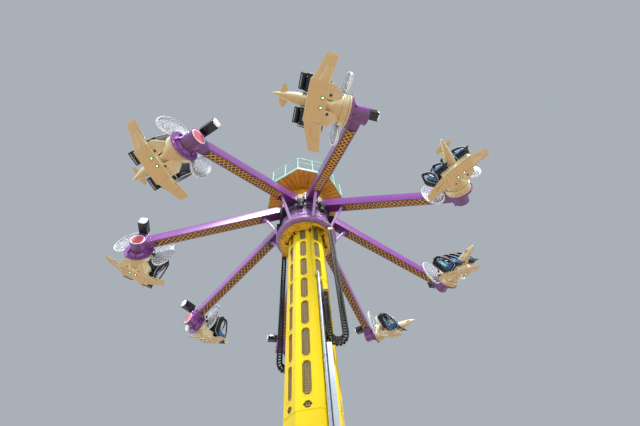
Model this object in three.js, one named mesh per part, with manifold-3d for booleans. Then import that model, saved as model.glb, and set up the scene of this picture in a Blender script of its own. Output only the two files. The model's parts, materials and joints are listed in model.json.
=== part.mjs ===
// Self-control plane ride: a tower with a climbing carriage, a turning hub with
// eight drooping arms, and a two-seat plane that rolls at the tip of each arm.
// Millimetres, +Z up, origin on the underside of the tower's foot flange.
import * as THREE from "three";
import { mergeVertices } from "three/addons/utils/BufferGeometryUtils.js";
import Module from "manifold-3d";

const wasm = await Module();
wasm.setup();

// Driving dimensions.
const FIT = 0.4; // gap between pieces that touch
const RAD = Math.PI / 180;

// tower
const TOWER_APOTHEM = 678;
const TOWER_WALL = 20;
const TOWER_TURN = -4; // degrees between the tower's front face and -Y
const FOOT_PLATE_R = 1150;
const FOOT_PLATE_T = 50;
const PLAIN_TOP = 4131;
const SEGMENT_JOINT = 7952;
const SHAFT_TOP = 12507;
const HEAD_TOP = 13290;
const WINDOW_PITCH = 900;
const FIRST_BAR = 4352;
const WINDOW_W = 226;
const WINDOW_H = 786;
const WINDOW_CORNER = 70;
const RACK = { near: 585, far: 635, half: 45 };

// service platform
const DECK_R = 1892;
const DECK_Z = 13355;
const DECK_T = 60;
const RAIL_H = 1158;

// carriage and rotor
const CARRIAGE_BORE = 762;
const CARRIAGE_R = 984;
const CARRIAGE_LOW = 10260;
const CARRIAGE_TOP = 12830;
const CARRIAGE_RIM = 1100;
// opening for the carriers and the conduit, between two radii
const SLOT = { az: -50, width: 36, inner: 500, reach: 996 };
const ROLLER_BLOCK = { near: 690, half: 60, high: 250 };
const HUB_BORE = 1000;
const HUB_R = 1056;
const HUB_LOW = 10440;
const HUB_TOP = 12760;
const BRACE_RING_R = 1255;
const BRACE_RING_H = 120;
const BEAD = { low: 10840, high: 10905, out: 4 };
const DRIVE = { low: 11200, ring: 11500, high: 11760, spot: 1200, r: 95, reach: 1300, half: 115 };

// arms
const ARMS = 8;
const FIRST_ARM = -67.5; // degrees
const ARM_PEAK_Z = 12900; // where the arm axes meet the tower axis
const TIP_R = 5797;
const TIP_Z = 8995;
const ARM_SLOPE = Math.atan2(ARM_PEAK_Z - TIP_Z, TIP_R);
const ARM_ROOT_R = 1062;
const ARM_ROOT = { width: 450, height: 410 };
const ARM_TIP = { width: 300, height: 290 };
const HOUSING_R = 245;

// planes, with the distance behind the arm counted along -Y
const ROLL = 20.5; // degrees, outer wing up
const FLANGE_Y = -306;
const DRUM_R = 395;
const BOX_TOP = -195;
const SEAT_IN = 157; // nearest and farthest side of a seat from the middle
const SEAT_OUT = 630;
const SEAT_WALL = 30;
const PADDLE = {
  long: 1114,
  wide: 592,
  depth: 110,
  wall: 28,
  y: -435,
  r: 728, // from the roll axis to the middle of the oval
  rise: 29, // degrees of that line over the wing
  lean: 10.8, // degrees of the long axis towards the seats' middle
  turn: -4, // degrees by which the pair is turned on the drum
  sides: 14,
};

// cable carriers
const CHAIN_W = 200;
const CHAIN_T = 170;
const CHAIN_FIXED = { r: 850, az: -44.5 };
const LOOP_AZ = 7.5;
const LOOP_R = 220;
const LOOP_Z = 5850; // level where the strands meet the bend
const ANCHOR_Z = 7200;
const CHAIN_TOP = 10180;
const WALL_FACE = -49; // the tower face behind the front carrier and the conduit
const CONDUIT = { r: 782, az: -56, tube: 52, top: 7960 };
const CONDUIT_MOUTH = { r: 790, az: -62, z: 8020 };

// Helpers.
const polar = (r, az) => [r * Math.cos(az * RAD), r * Math.sin(az * RAD)];

function solid(geometry) {
  const g = geometry.clone();
  g.deleteAttribute("normal");
  g.deleteAttribute("uv");
  const m = mergeVertices(g, 1e-4);
  return new wasm.Manifold(
    new wasm.Mesh({
      numProp: 3,
      vertProperties: new Float32Array(m.attributes.position.array),
      triVerts: new Uint32Array(m.index.array),
    }),
  );
}

function toGeometry(manifold) {
  const mesh = manifold.getMesh();
  const g = new THREE.BufferGeometry();
  g.setAttribute("position", new THREE.BufferAttribute(mesh.vertProperties, 3));
  g.setIndex(new THREE.BufferAttribute(mesh.triVerts, 1));
  g.computeVertexNormals();
  return g;
}

function join(...parts) {
  return parts.flat().reduce((a, b) => a.add(b));
}

function cut(body, ...cutters) {
  return cutters.flat().reduce((a, b) => a.subtract(b), body);
}

// A box given by its limits.
function block(x0, x1, y0, y1, z0, z1) {
  const g = new THREE.BoxGeometry(x1 - x0, y1 - y0, z1 - z0);
  return g.translate((x0 + x1) / 2, (y0 + y1) / 2, (z0 + z1) / 2);
}

// A solid drum about Z.
function drum(r, z0, z1, sides = 32, rTop = r) {
  const g = new THREE.CylinderGeometry(rTop, r, z1 - z0, sides);
  return g.rotateX(Math.PI / 2).translate(0, 0, (z0 + z1) / 2);
}

// A turned body about Z, from a closed profile of [radius, height] pairs.
function turned(profile, sides = 32) {
  const points = [...profile, profile[0]].map(([x, y]) => new THREE.Vector2(x, y));
  return new THREE.LatheGeometry(points, sides).rotateX(Math.PI / 2);
}

function ring(rIn, rOut, z0, z1) {
  return turned([
    [rIn, z0],
    [rOut, z0],
    [rOut, z1],
    [rIn, z1],
  ]);
}

// A drum or cone about Y, from y0 (the low end) to y1.
function barrel(r0, r1, y0, y1, sides = 24) {
  const g = new THREE.CylinderGeometry(r1, r0, y1 - y0, sides);
  return g.translate(0, (y0 + y1) / 2, 0);
}

// A closed skin through rings of points that all have the same count.
function loft(sections) {
  const n = sections[0].length;
  const points = sections.flat();
  const faces = [];
  for (let k = 0; k + 1 < sections.length; k++) {
    for (let i = 0; i < n; i++) {
      const a = k * n + i;
      const b = k * n + ((i + 1) % n);
      faces.push(a, b, b + n, a, b + n, a + n);
    }
  }
  const last = (sections.length - 1) * n;
  for (let i = 1; i + 1 < n; i++) {
    faces.push(0, i + 1, i, last, last + i, last + i + 1);
  }
  const g = new THREE.BufferGeometry();
  g.setAttribute("position", new THREE.Float32BufferAttribute(points.flat(), 3));
  g.setIndex(faces);
  return g;
}

// The same, turned right side out whichever way its rings run.
function skin(sections) {
  const made = solid(loft(sections));
  return made.volume() > 0 ? made : solid(loft([...sections].reverse()));
}

// A straight round bar between two points.
function bar(a, b, r, sides = 12) {
  const from = new THREE.Vector3(...a);
  const to = new THREE.Vector3(...b);
  const along = to.clone().sub(from);
  const g = new THREE.CylinderGeometry(r, r, along.length(), sides);
  const turn = new THREE.Quaternion().setFromUnitVectors(
    new THREE.Vector3(0, 1, 0),
    along.clone().normalize(),
  );
  const middle = from.add(to).multiplyScalar(0.5);
  return g.applyQuaternion(turn).translate(middle.x, middle.y, middle.z);
}

// A bent round tube through points.
function pipe(points, r, steps = 16, sides = 10) {
  const curve = new THREE.CatmullRomCurve3(points.map((p) => new THREE.Vector3(...p)));
  const shape = new THREE.Shape();
  shape.absarc(0, 0, r, 0, 2 * Math.PI, false);
  const options = { steps, extrudePath: curve, curveSegments: sides / 2 };
  return new THREE.ExtrudeGeometry(shape, options);
}

function polygonPrism(points, z0, z1) {
  const shape = new THREE.Shape(points.map(([x, y]) => new THREE.Vector2(x, y)));
  const g = new THREE.ExtrudeGeometry(shape, { depth: z1 - z0, bevelEnabled: false });
  return g.translate(0, 0, z0);
}

function octagon(apothem, turn, z0, z1) {
  const r = apothem / Math.cos(22.5 * RAD);
  const points = [];
  for (let k = 0; k < 8; k++) points.push(polar(r, turn + 22.5 + 45 * k));
  return polygonPrism(points, z0, z1);
}

function finish(color, roughness, metalness) {
  return new THREE.MeshStandardMaterial({ color, roughness, metalness });
}

const PAINTS = {
  yellow: () => finish(0xf2dc1e, 0.45, 0.1),
  purple: () => finish(0x5d2c74, 0.4, 0.1),
  cream: () => finish(0xe9dfc0, 0.4, 0.0),
  mint: () => finish(0xa9e3d6, 0.5, 0.1),
  ochre: () => finish(0xc98d25, 0.6, 0.1),
  black: () => finish(0x15161b, 0.6, 0.0),
  steel: () => finish(0xb9bcbe, 0.35, 0.9),
  pale: () => finish(0xbfcad6, 0.4, 0.6),
  frosted: () => finish(0xe8ebee, 0.3, 0.0),
};

function node(name, body, paint) {
  const geometry = body.isBufferGeometry ? body : toGeometry(body);
  const mesh = new THREE.Mesh(geometry, PAINTS[paint]());
  mesh.name = name;
  return mesh;
}

// The tower.
function towerTube(z0, z1) {
  const inner = octagon(TOWER_APOTHEM - TOWER_WALL, 0, z0 - 1, z1 + 1);
  return cut(solid(octagon(TOWER_APOTHEM, 0, z0, z1)), solid(inner));
}

// A rounded slot through the wall at +X, with its lower edge at z.
function windowCutter(z, height) {
  const w = WINDOW_W / 2;
  const c = Math.min(WINDOW_CORNER, height / 2 - 5);
  const points = [];
  const corners = [
    [w - c, c, -90],
    [w - c, height - c, 0],
    [c - w, height - c, 90],
    [c - w, c, 180],
  ];
  for (const [x, y, start] of corners) {
    for (const a of [0, 90]) {
      const [dx, dy] = polar(c, start + a);
      points.push([x + dx, y + dy]);
    }
  }
  const g = polygonPrism(points, 0, 200);
  return g
    .rotateX(Math.PI / 2)
    .rotateZ(Math.PI / 2)
    .translate(TOWER_APOTHEM - 120, 0, z);
}

function windowRows(z0, z1) {
  const rows = z0 < FIRST_BAR - 200 ? [[PLAIN_TOP + 14, 150]] : [];
  for (let bar = FIRST_BAR; bar < SHAFT_TOP - WINDOW_PITCH / 2; bar += WINDOW_PITCH) {
    const low = bar + (WINDOW_PITCH - WINDOW_H) / 2;
    if (low > z0 && low + WINDOW_H < z1) rows.push([low, WINDOW_H]);
  }
  return rows;
}

function windowedTube(z0, z1) {
  const cutters = [];
  for (const [low, height] of windowRows(z0, z1)) {
    for (let face = 0; face < 8; face++) {
      const g = windowCutter(low, height).rotateZ(face * 45 * RAD);
      cutters.push(solid(g));
    }
  }
  return cut(towerTube(z0, z1), cutters);
}

function footFlange() {
  const plate = solid(drum(FOOT_PLATE_R, 0, FOOT_PLATE_T));
  const gussets = [];
  for (let k = 0; k < 8; k++) {
    const g = new THREE.ExtrudeGeometry(
      new THREE.Shape([
        new THREE.Vector2(TOWER_APOTHEM + FIT, FOOT_PLATE_T - 1),
        new THREE.Vector2(FOOT_PLATE_R - 30, FOOT_PLATE_T - 1),
        new THREE.Vector2(FOOT_PLATE_R - 30, FOOT_PLATE_T + 60),
        new THREE.Vector2(TOWER_APOTHEM + 60, FOOT_PLATE_T + 560),
        new THREE.Vector2(TOWER_APOTHEM + FIT, FOOT_PLATE_T + 560),
      ]),
      { depth: 30, bevelEnabled: false },
    );
    g.rotateX(Math.PI / 2).translate(0, 15, 0);
    gussets.push(solid(g.rotateZ(k * 45 * RAD)));
  }
  return join(plate, gussets);
}

function rackCage() {
  const bars = [];
  const low = FIRST_BAR - 200;
  const high = SHAFT_TOP - 20;
  for (let k = 0; k < 8; k++) {
    const g = block(RACK.near, RACK.far, -RACK.half, RACK.half, low, high);
    bars.push(solid(g.rotateZ(k * 45 * RAD)));
  }
  const rings = [];
  const seat = TOWER_APOTHEM - TOWER_WALL - FIT;
  for (const bar of [FIRST_BAR, FIRST_BAR + 4 * WINDOW_PITCH, FIRST_BAR + 9 * WINDOW_PITCH]) {
    const outer = solid(octagon(seat, 0, bar - 30, bar + 30));
    rings.push(cut(outer, solid(octagon(560, 0, bar - 31, bar + 31))));
  }
  return join(bars, rings);
}

function towerHead() {
  const neck = cut(
    solid(octagon(TOWER_APOTHEM, 0, SHAFT_TOP + FIT, HEAD_TOP)),
    solid(octagon(TOWER_APOTHEM - 40, 0, SHAFT_TOP, HEAD_TOP - 60)),
  );
  const collar = solid(drum(800, HEAD_TOP - 110, HEAD_TOP));
  const lug = solid(block(-60, 60, -790, -640, HEAD_TOP - 330, HEAD_TOP - 100));
  const eye = solid(bar([-100, -730, HEAD_TOP - 240], [100, -730, HEAD_TOP - 240], 45, 16));
  return cut(join(neck, collar, lug), eye);
}

function buildTower() {
  const group = new THREE.Group();
  group.rotation.z = TOWER_TURN * RAD;
  group.add(
    node("foot_flange", footFlange(), "yellow"),
    node("tower_foot_segment", towerTube(FOOT_PLATE_T + FIT, PLAIN_TOP - FIT), "yellow"),
    node("tower_lower_segment", windowedTube(PLAIN_TOP, SEGMENT_JOINT - FIT), "yellow"),
    node("tower_upper_segment", windowedTube(SEGMENT_JOINT, SHAFT_TOP), "yellow"),
    node("rack_cage", rackCage(), "steel"),
    node("tower_head", towerHead(), "yellow"),
  );
  return group;
}

// The service platform.
const deckPoints = (r) => Array.from({ length: 8 }, (_, k) => polar(r, -90 + 45 * k));

function deck() {
  const low = HEAD_TOP + FIT;
  const plate = solid(polygonPrism(deckPoints(DECK_R - 40.5), DECK_Z, DECK_Z + DECK_T - 10));
  const ribs = [];
  for (let k = 0; k < 8; k++) {
    const g = block(560, (DECK_R - 60) * Math.cos(22.5 * RAD), -30, 30, low, DECK_Z + 5);
    ribs.push(solid(g.rotateZ((-67.5 + 45 * k) * RAD)));
  }
  const hubRing = cut(solid(drum(640, low, DECK_Z + 5)), solid(drum(560, low - 1, DECK_Z - 1)));
  return join(plate, hubRing, ribs);
}

function railFrame() {
  const inR = DECK_R - 40;
  const fascia = cut(
    solid(polygonPrism(deckPoints(DECK_R), DECK_Z - 10, DECK_Z + DECK_T + 60)),
    solid(polygonPrism(deckPoints(inR), DECK_Z - 20, DECK_Z + DECK_T + 70)),
  );
  const pieces = [fascia];
  const r = DECK_R - 22;
  const corners = deckPoints(r);
  const top = DECK_Z + RAIL_H;
  const levels = [
    [top - 24, 24],
    [DECK_Z + 0.61 * RAIL_H, 18],
  ];
  for (let k = 0; k < 8; k++) {
    const a = corners[k];
    const b = corners[(k + 1) % 8];
    const middle = [(a[0] + b[0]) / 2, (a[1] + b[1]) / 2];
    for (const p of [a, middle]) {
      const post = block(-20, 20, -20, 20, DECK_Z + DECK_T, top - 24);
      pieces.push(solid(post.translate(p[0], p[1], 0)));
    }
  }
  for (const [z, half] of levels) {
    const outer = solid(polygonPrism(deckPoints(r + half), z - half, z + half));
    pieces.push(cut(outer, solid(polygonPrism(deckPoints(r - half), z - 50, z + 50))));
  }
  return join(pieces);
}

// The cable carriers.
// Frame of the front loop: its first strand stands at the origin, X runs to the other.
function atLoop(group, back) {
  const [x, y] = polar(CHAIN_FIXED.r, CHAIN_FIXED.az);
  const place = new THREE.Group();
  place.position.set(x, y, 0);
  place.rotation.z = LOOP_AZ * RAD;
  place.add(group);
  const side = new THREE.Group();
  if (back) side.rotation.z = Math.PI;
  side.add(place);
  return side;
}

const strand = (x, z0, z1) =>
  block(x - CHAIN_T / 2, x + CHAIN_T / 2, -CHAIN_W / 2, CHAIN_W / 2, z0, z1);

function bend() {
  const steps = 16;
  const w = CHAIN_W / 2;
  const sections = [];
  for (let k = 0; k <= steps; k++) {
    const a = (k / steps) * Math.PI;
    const at = (reach) => [LOOP_R - reach * Math.cos(a), LOOP_Z - reach * Math.sin(a)];
    const [x0, z0] = at(LOOP_R + CHAIN_T / 2);
    const [x1, z1] = at(LOOP_R - CHAIN_T / 2);
    sections.push([
      [x0, -w, z0],
      [x0, w, z0],
      [x1, w, z1],
      [x1, -w, z1],
    ]);
  }
  return skin(sections);
}

// A bracket from the tower's wall to a carrier's back plate, in the loop's frame.
function wallBracket(z, height) {
  const g = block(TOWER_APOTHEM + FIT, 715, 10, 45, z - height / 2, z + height / 2);
  g.rotateZ(WALL_FACE * RAD);
  const [x, y] = polar(CHAIN_FIXED.r, CHAIN_FIXED.az);
  return solid(g.translate(-x, -y, 0).rotateZ(-LOOP_AZ * RAD));
}

function trough() {
  const back = -CHAIN_T / 2 - 16;
  const side = CHAIN_W / 2 + 14;
  const t = 12;
  const low = 1500;
  const high = 5560;
  return join(
    solid(block(back - t, back, -side - t, side + t, low, high)),
    solid(block(back - t, back + 118, -side - t, -side, low, high)),
    solid(block(back - t, back + 118, side, side + t, low, high)),
    [1700, 3000, FIRST_BAR, FIRST_BAR + WINDOW_PITCH].map((z) => wallBracket(z, 90)),
  );
}

function anchor() {
  const back = -CHAIN_T / 2 - 12;
  const w = CHAIN_W / 2;
  return join(
    solid(block(back - 16, CHAIN_T / 2 - 5, -w, w, ANCHOR_Z + FIT, ANCHOR_Z + 100)),
    solid(block(back - 16, back, -w, w, ANCHOR_Z - 250, ANCHOR_Z + 100)),
    wallBracket(FIRST_BAR + 3 * WINDOW_PITCH, 90),
  );
}

function buildCarriers(root) {
  for (const [side, back] of [
    ["front", false],
    ["rear", true],
  ]) {
    const group = new THREE.Group();
    group.add(
      node("carrier_trough_" + side, trough(), "pale"),
      node("carrier_anchor_" + side, anchor(), "steel"),
      node("carrier_fixed_strand_" + side, strand(0, LOOP_Z + FIT, ANCHOR_Z), "black"),
      node("carrier_bend_" + side, bend(), "black"),
      node(
        "carrier_moving_strand_" + side,
        strand(2 * LOOP_R, LOOP_Z + FIT, CHAIN_TOP),
        "black",
      ),
    );
    root.add(atLoop(group, back));
  }
}

function conduit() {
  const { tube, top } = CONDUIT;
  const [x, y] = polar(CONDUIT.r, CONDUIT.az);
  const [hx, hy] = polar(CONDUIT_MOUTH.r, CONDUIT_MOUTH.az);
  const riser = solid(bar([x, y, FOOT_PLATE_T + FIT], [x, y, top], tube, 8));
  const route = [
    [x, y, top - 20],
    [x, y, top + 50],
    [(x + hx) / 2, (y + hy) / 2, top + 115],
    [hx, hy, CONDUIT_MOUTH.z],
  ];
  const neck = solid(pipe(route, tube, 6, 8));
  const clamps = [700, 2200, 3700, FIRST_BAR + WINDOW_PITCH, FIRST_BAR + 3 * WINDOW_PITCH, 7925];
  const seats = clamps.map((z) =>
    solid(block(TOWER_APOTHEM + FIT, 776, -125, -65, z - 25, z + 25).rotateZ(WALL_FACE * RAD)),
  );
  return join(riser, neck, seats);
}

// The carriage.
// The opening from the bore outwards that lets the carriers and the conduit pass.
function carriageSlot() {
  const start = SLOT.az - SLOT.width / 2;
  const points = [polar(SLOT.inner, start + SLOT.width), polar(SLOT.inner, start)];
  for (let k = 0; k <= 6; k++) {
    points.push(polar(SLOT.reach, start + (SLOT.width * k) / 6));
  }
  return polygonPrism(points, CARRIAGE_LOW - 200, CARRIAGE_TOP + 1);
}

function carriage() {
  const sleeve = turned([
    [CARRIAGE_BORE, CARRIAGE_LOW],
    [CARRIAGE_RIM, CARRIAGE_LOW],
    [CARRIAGE_RIM, CARRIAGE_LOW + 50],
    [CARRIAGE_R, CARRIAGE_LOW + 50],
    [CARRIAGE_R, HUB_LOW - 50],
    [1040, HUB_LOW - 50],
    [1040, HUB_LOW - FIT],
    [CARRIAGE_R, HUB_LOW - FIT],
    [CARRIAGE_R, CARRIAGE_TOP - 50],
    [CARRIAGE_RIM, CARRIAGE_TOP - 50],
    [CARRIAGE_RIM, CARRIAGE_TOP],
    [CARRIAGE_R - 30, CARRIAGE_TOP],
    [CARRIAGE_R - 30, CARRIAGE_LOW + 60],
    [CARRIAGE_BORE, CARRIAGE_LOW + 60],
  ]);
  const parts = [solid(sleeve)];
  for (let k = 0; k < 8; k++) {
    const az = (TOWER_TURN + 22.5 + 45 * k) * RAD;
    const { near, half, high } = ROLLER_BLOCK;
    for (const z of [CARRIAGE_LOW, CARRIAGE_TOP - high]) {
      const g = block(near, CARRIAGE_R - 10, -half, half, z, z + high);
      parts.push(solid(g.rotateZ(az)));
    }
  }
  const x = 2 * LOOP_R;
  const w = CHAIN_W / 2;
  const [fx, fy] = polar(CHAIN_FIXED.r, CHAIN_FIXED.az);
  const hangers = [];
  for (const turn of [0, 180]) {
    const foot = block(x - 95, x + 95, -w - 10, w + 10, CHAIN_TOP + FIT, CARRIAGE_LOW + 50);
    foot.rotateZ(LOOP_AZ * RAD).translate(fx, fy, 0);
    hangers.push(solid(foot.rotateZ(turn * RAD)));
  }
  const track = solid(
    octagon(TOWER_APOTHEM + FIT, TOWER_TURN, CARRIAGE_LOW - 300, CARRIAGE_TOP + 1),
  );
  const slots = [0, 180].map((turn) => solid(carriageSlot().rotateZ(turn * RAD)));
  return cut(join(parts), track, slots).add(join(hangers));
}

// The rotor.
function hub() {
  const sleeve = turned([
    [HUB_BORE, HUB_LOW],
    [BRACE_RING_R, HUB_LOW],
    [BRACE_RING_R, HUB_LOW + BRACE_RING_H],
    [HUB_R, HUB_LOW + BRACE_RING_H],
    [HUB_R, BEAD.low],
    [HUB_R + BEAD.out, BEAD.low],
    [HUB_R + BEAD.out, BEAD.high],
    [HUB_R, BEAD.high],
    [HUB_R, HUB_TOP - 60],
    [1050, HUB_TOP - 60],
    [1050, HUB_TOP],
    [HUB_BORE, HUB_TOP],
  ]);
  const parts = [solid(sleeve)];
  for (let k = 0; k < ARMS; k++) {
    const g = new THREE.ExtrudeGeometry(
      new THREE.Shape([
        new THREE.Vector2(-150, 10900),
        new THREE.Vector2(150, 10900),
        new THREE.Vector2(20, 11420),
        new THREE.Vector2(-20, 11420),
      ]),
      { depth: 60, bevelEnabled: false },
    );
    g.rotateX(Math.PI / 2).rotateZ(Math.PI / 2).translate(HUB_R - 30, 0, 0);
    parts.push(solid(g.rotateZ((FIRST_ARM + 22.5 + 45 * k) * RAD)));
  }
  return join(parts);
}

function driveRing() {
  const { low, high, spot, r, reach, half } = DRIVE;
  const parts = [solid(ring(HUB_R + FIT, HUB_R + 30, DRIVE.ring, DRIVE.ring + 100))];
  for (let k = 0; k < ARMS; k++) {
    const az = (FIRST_ARM + 22.5 + 45 * k) * RAD;
    const box = block(HUB_R + 10, reach, -half, half, DRIVE.ring - 20, high);
    parts.push(solid(box.rotateZ(az)));
    parts.push(solid(drum(r, low, DRIVE.ring, 8).translate(spot, 0, 0).rotateZ(az)));
  }
  return join(parts);
}

// Arm frame: X outward, Y along the direction of flight, Z up; origin at the roll axis.
function arm() {
  const c = Math.cos(ARM_SLOPE);
  const s = Math.sin(ARM_SLOPE);
  const section = (r, w, h) => {
    const x = r - TIP_R;
    const z = -x * Math.tan(ARM_SLOPE);
    const half = h / 2 / c;
    return [
      [x, -w / 2, z - half],
      [x, w / 2, z - half],
      [x, w / 2, z + half],
      [x, -w / 2, z + half],
    ];
  };
  const beam = skin([
    section(ARM_ROOT_R, ARM_ROOT.width, ARM_ROOT.height),
    section(1800, ARM_ROOT.width - 20, ARM_ROOT.height - 10),
    section(TIP_R - 120, ARM_TIP.width, ARM_TIP.height),
  ]);
  const rootX = ARM_ROOT_R - TIP_R;
  const rootZ = -rootX * Math.tan(ARM_SLOPE);
  const rootPlate = solid(block(rootX - 1, rootX + 40, -275, 275, rootZ - 300, rootZ + 300));
  const profile = [
    [0, FLANGE_Y + FIT],
    [430, FLANGE_Y + FIT],
    [430, FLANGE_Y + 45],
    [HOUSING_R - 10, FLANGE_Y + 90],
    [HOUSING_R - 10, 205],
    [HOUSING_R, 205],
    [HOUSING_R, 232],
    [0, 232],
  ].map(([x, y]) => new THREE.Vector2(x, y));
  const housing = solid(new THREE.LatheGeometry(profile, 16));
  const ledge = HUB_LOW + BRACE_RING_H + FIT - TIP_Z; // top of the hub's brace ring
  const brace = solid(
    bar([1178 - TIP_R, 0, ledge - 10], [1835 - TIP_R, 0, 11490 - TIP_Z], 58, 10),
  );
  const foot = solid(block(1105 - TIP_R, 1245 - TIP_R, -85, 85, ledge, ledge + 45));
  const below = solid(block(1000 - TIP_R, 1400 - TIP_R, -200, 200, ledge - 120, ledge));
  const shaved = cut(join(brace, foot), below);
  const gearBase = solid(block(-150, 85, -60, 215, 120, 330));
  const gearBox = solid(block(-150, 85, 150, 700, 320, 585));
  return join(beam, rootPlate, housing, shaved, gearBase, gearBox);
}

// The planes.
// Plane frame: X along the wings, Y towards the arm, Z up; origin on the roll axis.
function ellipse(y, rx, rz, cz, n = 12) {
  const ringPoints = [];
  for (let k = 0; k < n; k++) {
    const a = (k / n) * 2 * Math.PI;
    ringPoints.push([rx * Math.cos(a), y, cz + rz * Math.sin(a)]);
  }
  return ringPoints;
}

// A prism across the plane, from side points of [distance behind the arm, height].
function sidePrism(points, x0, x1) {
  const across = new THREE.Matrix4().makeBasis(
    new THREE.Vector3(0, -1, 0),
    new THREE.Vector3(0, 0, 1),
    new THREE.Vector3(-1, 0, 0),
  );
  return polygonPrism(points, -x1, -x0).applyMatrix4(across);
}

// A four-cornered section across X at x, from y0 to y1, low edge then high edge.
const quad = (x, low0, low1, high0, high1) => [
  [x, low0[0], low0[1]],
  [x, low1[0], low1[1]],
  [x, high1[0], high1[1]],
  [x, high0[0], high0[1]],
];

function wing(side) {
  return skin([
    quad(side * 490, [-1405, -352], [-938, -352], [-1405, -282], [-938, -262]),
    quad(side * 1168, [-1139, -285], [-854, -285], [-1139, -262], [-854, -252]),
  ]);
}

// The hollow under the wing root.
function wingBelly(side) {
  return skin([
    quad(side * 500, [-1215, -392], [-955, -392], [-1235, -320], [-945, -320]),
    quad(side * 850, [-1110, -352], [-950, -352], [-1125, -300], [-935, -300]),
  ]);
}

function tailplane(side) {
  return skin([
    quad(side * 40, [-2070, -28], [-1840, -28], [-2070, 8], [-1840, 8]),
    quad(side * 270, [-1985, -12], [-1880, -12], [-1985, 8], [-1880, 8]),
  ]);
}

// The web from the drum out to the foot box.
function cheek(side) {
  const section = (y, x0, x1, z0, z1) => [
    [side * x0, y, z0],
    [side * x1, y, z0],
    [side * x1, y, z1],
    [side * x0, y, z1],
  ];
  return skin([section(-546, 150, 290, -230, -40), section(-800, 150, 495, -345, -90)]);
}

function airframe() {
  const drumHead = skin([
    ellipse(FLANGE_Y, DRUM_R, DRUM_R, 0, 16),
    ellipse(FLANGE_Y - 45, DRUM_R, DRUM_R, 0, 16),
  ]);
  const spine = skin([
    ellipse(FLANGE_Y - 40, 345, 345, 0),
    ellipse(-740, 280, 290, -30),
    ellipse(-800, 150, 250, -50),
    ellipse(-1430, 150, 190, -60),
    ellipse(-1700, 145, 150, -40),
    ellipse(-2080, 62, 80, -15),
    ellipse(-2250, 22, 28, -10),
  ]);
  const parts = [drumHead, spine, solid(block(-503, 503, -1426, -934, -367, BOX_TOP))];
  for (const side of [-1, 1]) {
    const [x0, x1] = side > 0 ? [140, 500] : [-500, -140];
    parts.push(solid(block(x0, x1, -950, -785, -350, -80)));
    parts.push(wing(side), wingBelly(side), tailplane(side), cheek(side));
  }
  return join(parts);
}

// Side outlines of a seat and of the hollow in it, as [distance behind the arm, height].
const SEAT_SIDE = [
  [873, -18],
  [990, -88],
  [1160, BOX_TOP + FIT],
  [1426 + FIT, BOX_TOP + FIT],
  [1426 + FIT, -262],
  [1658, -262],
  [1667, -117],
  [1483, 219],
  [1282, 519],
  [1172, 611],
  [820, 590],
  [759, 525],
];
const SEAT_HOLLOW = [
  [1005, -25],
  [1480, 35],
  [1570, -150],
  [1900, -150],
  [1900, 800],
  [880, 800],
  [892, 530],
];
// One shoulder bar of the restraint, from the back's top to the pan.
const SHOULDER_BAR = [
  [850, 540],
  [930, 650],
  [1100, 600],
  [1230, 380],
  [1240, -30],
];

function seatPair() {
  const parts = [];
  for (const [x0, x1] of [
    [-SEAT_OUT, -SEAT_IN],
    [SEAT_IN, SEAT_OUT],
  ]) {
    const hollow = solid(sidePrism(SEAT_HOLLOW, x0 + SEAT_WALL, x1 - SEAT_WALL));
    parts.push(cut(solid(sidePrism(SEAT_SIDE, x0, x1)), hollow));
    for (const x of [x0 + 75, x1 - 75]) {
      const route = SHOULDER_BAR.map(([behind, z]) => [x, -behind, z]);
      parts.push(solid(pipe(route, 28, 4, 4)));
    }
  }
  parts.push(solid(block(-170, 170, -895, -845, 270, 330)));
  return join(parts);
}

// An oval hoop across the roll axis, open towards the arm, with a thin web on its far side.
function paddle(side) {
  const tilt = (side > 0 ? PADDLE.rise : 180 - PADDLE.rise) + PADDLE.turn;
  const lean = side * PADDLE.lean + PADDLE.turn;
  const [cx, cz] = polar(PADDLE.r, tilt);
  const oval = (inset) => {
    const points = [];
    for (let k = 0; k < PADDLE.sides; k++) {
      const a = (k / PADDLE.sides) * 2 * Math.PI;
      const x = (PADDLE.wide / 2 - inset) * Math.cos(a);
      const z = (PADDLE.long / 2 - inset) * Math.sin(a);
      const [c, d] = polar(1, lean);
      points.push([cx + x * c - z * d, cz + x * d + z * c]);
    }
    return points;
  };
  const half = PADDLE.depth / 2;
  const hoop = solid(polygonPrism(oval(0), -half, half));
  const hollow = solid(polygonPrism(oval(PADDLE.wall), -half - 10, half - 12));
  const made = toGeometry(cut(hoop, hollow));
  return solid(made.rotateX(Math.PI / 2).translate(0, PADDLE.y, 0));
}

function propeller() {
  const near = FLANGE_Y - 45 - FIT;
  const far = PADDLE.y - PADDLE.depth / 2 + 5;
  const collar = cut(
    solid(barrel(392, 392, far, near, 12)),
    solid(barrel(355, 355, far - 10, near + 10, 12)),
  );
  const parts = [collar];
  for (const side of [-1, 1]) {
    parts.push(paddle(side));
    for (const angle of [PADDLE.rise - 8, PADDLE.rise + 27]) {
      const turn = (side > 0 ? angle : 180 - angle) + PADDLE.turn;
      const bracket = block(372, 455, far, far + 80, -35, 35);
      parts.push(solid(bracket.rotateY(-turn * RAD)));
    }
  }
  return join(parts);
}

// The assembly.
const ride = new THREE.Group();
ride.name = "self_control_plane_ride";
ride.add(buildTower());
ride.add(node("platform_deck", deck(), "ochre"));
ride.add(node("platform_railing", railFrame(), "mint"));
ride.add(node("cable_conduit", conduit(), "steel"));
buildCarriers(ride);
ride.add(node("carriage", carriage(), "yellow"));
ride.add(node("hub", hub(), "purple"));
ride.add(node("hub_drives", driveRing(), "black"));

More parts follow.
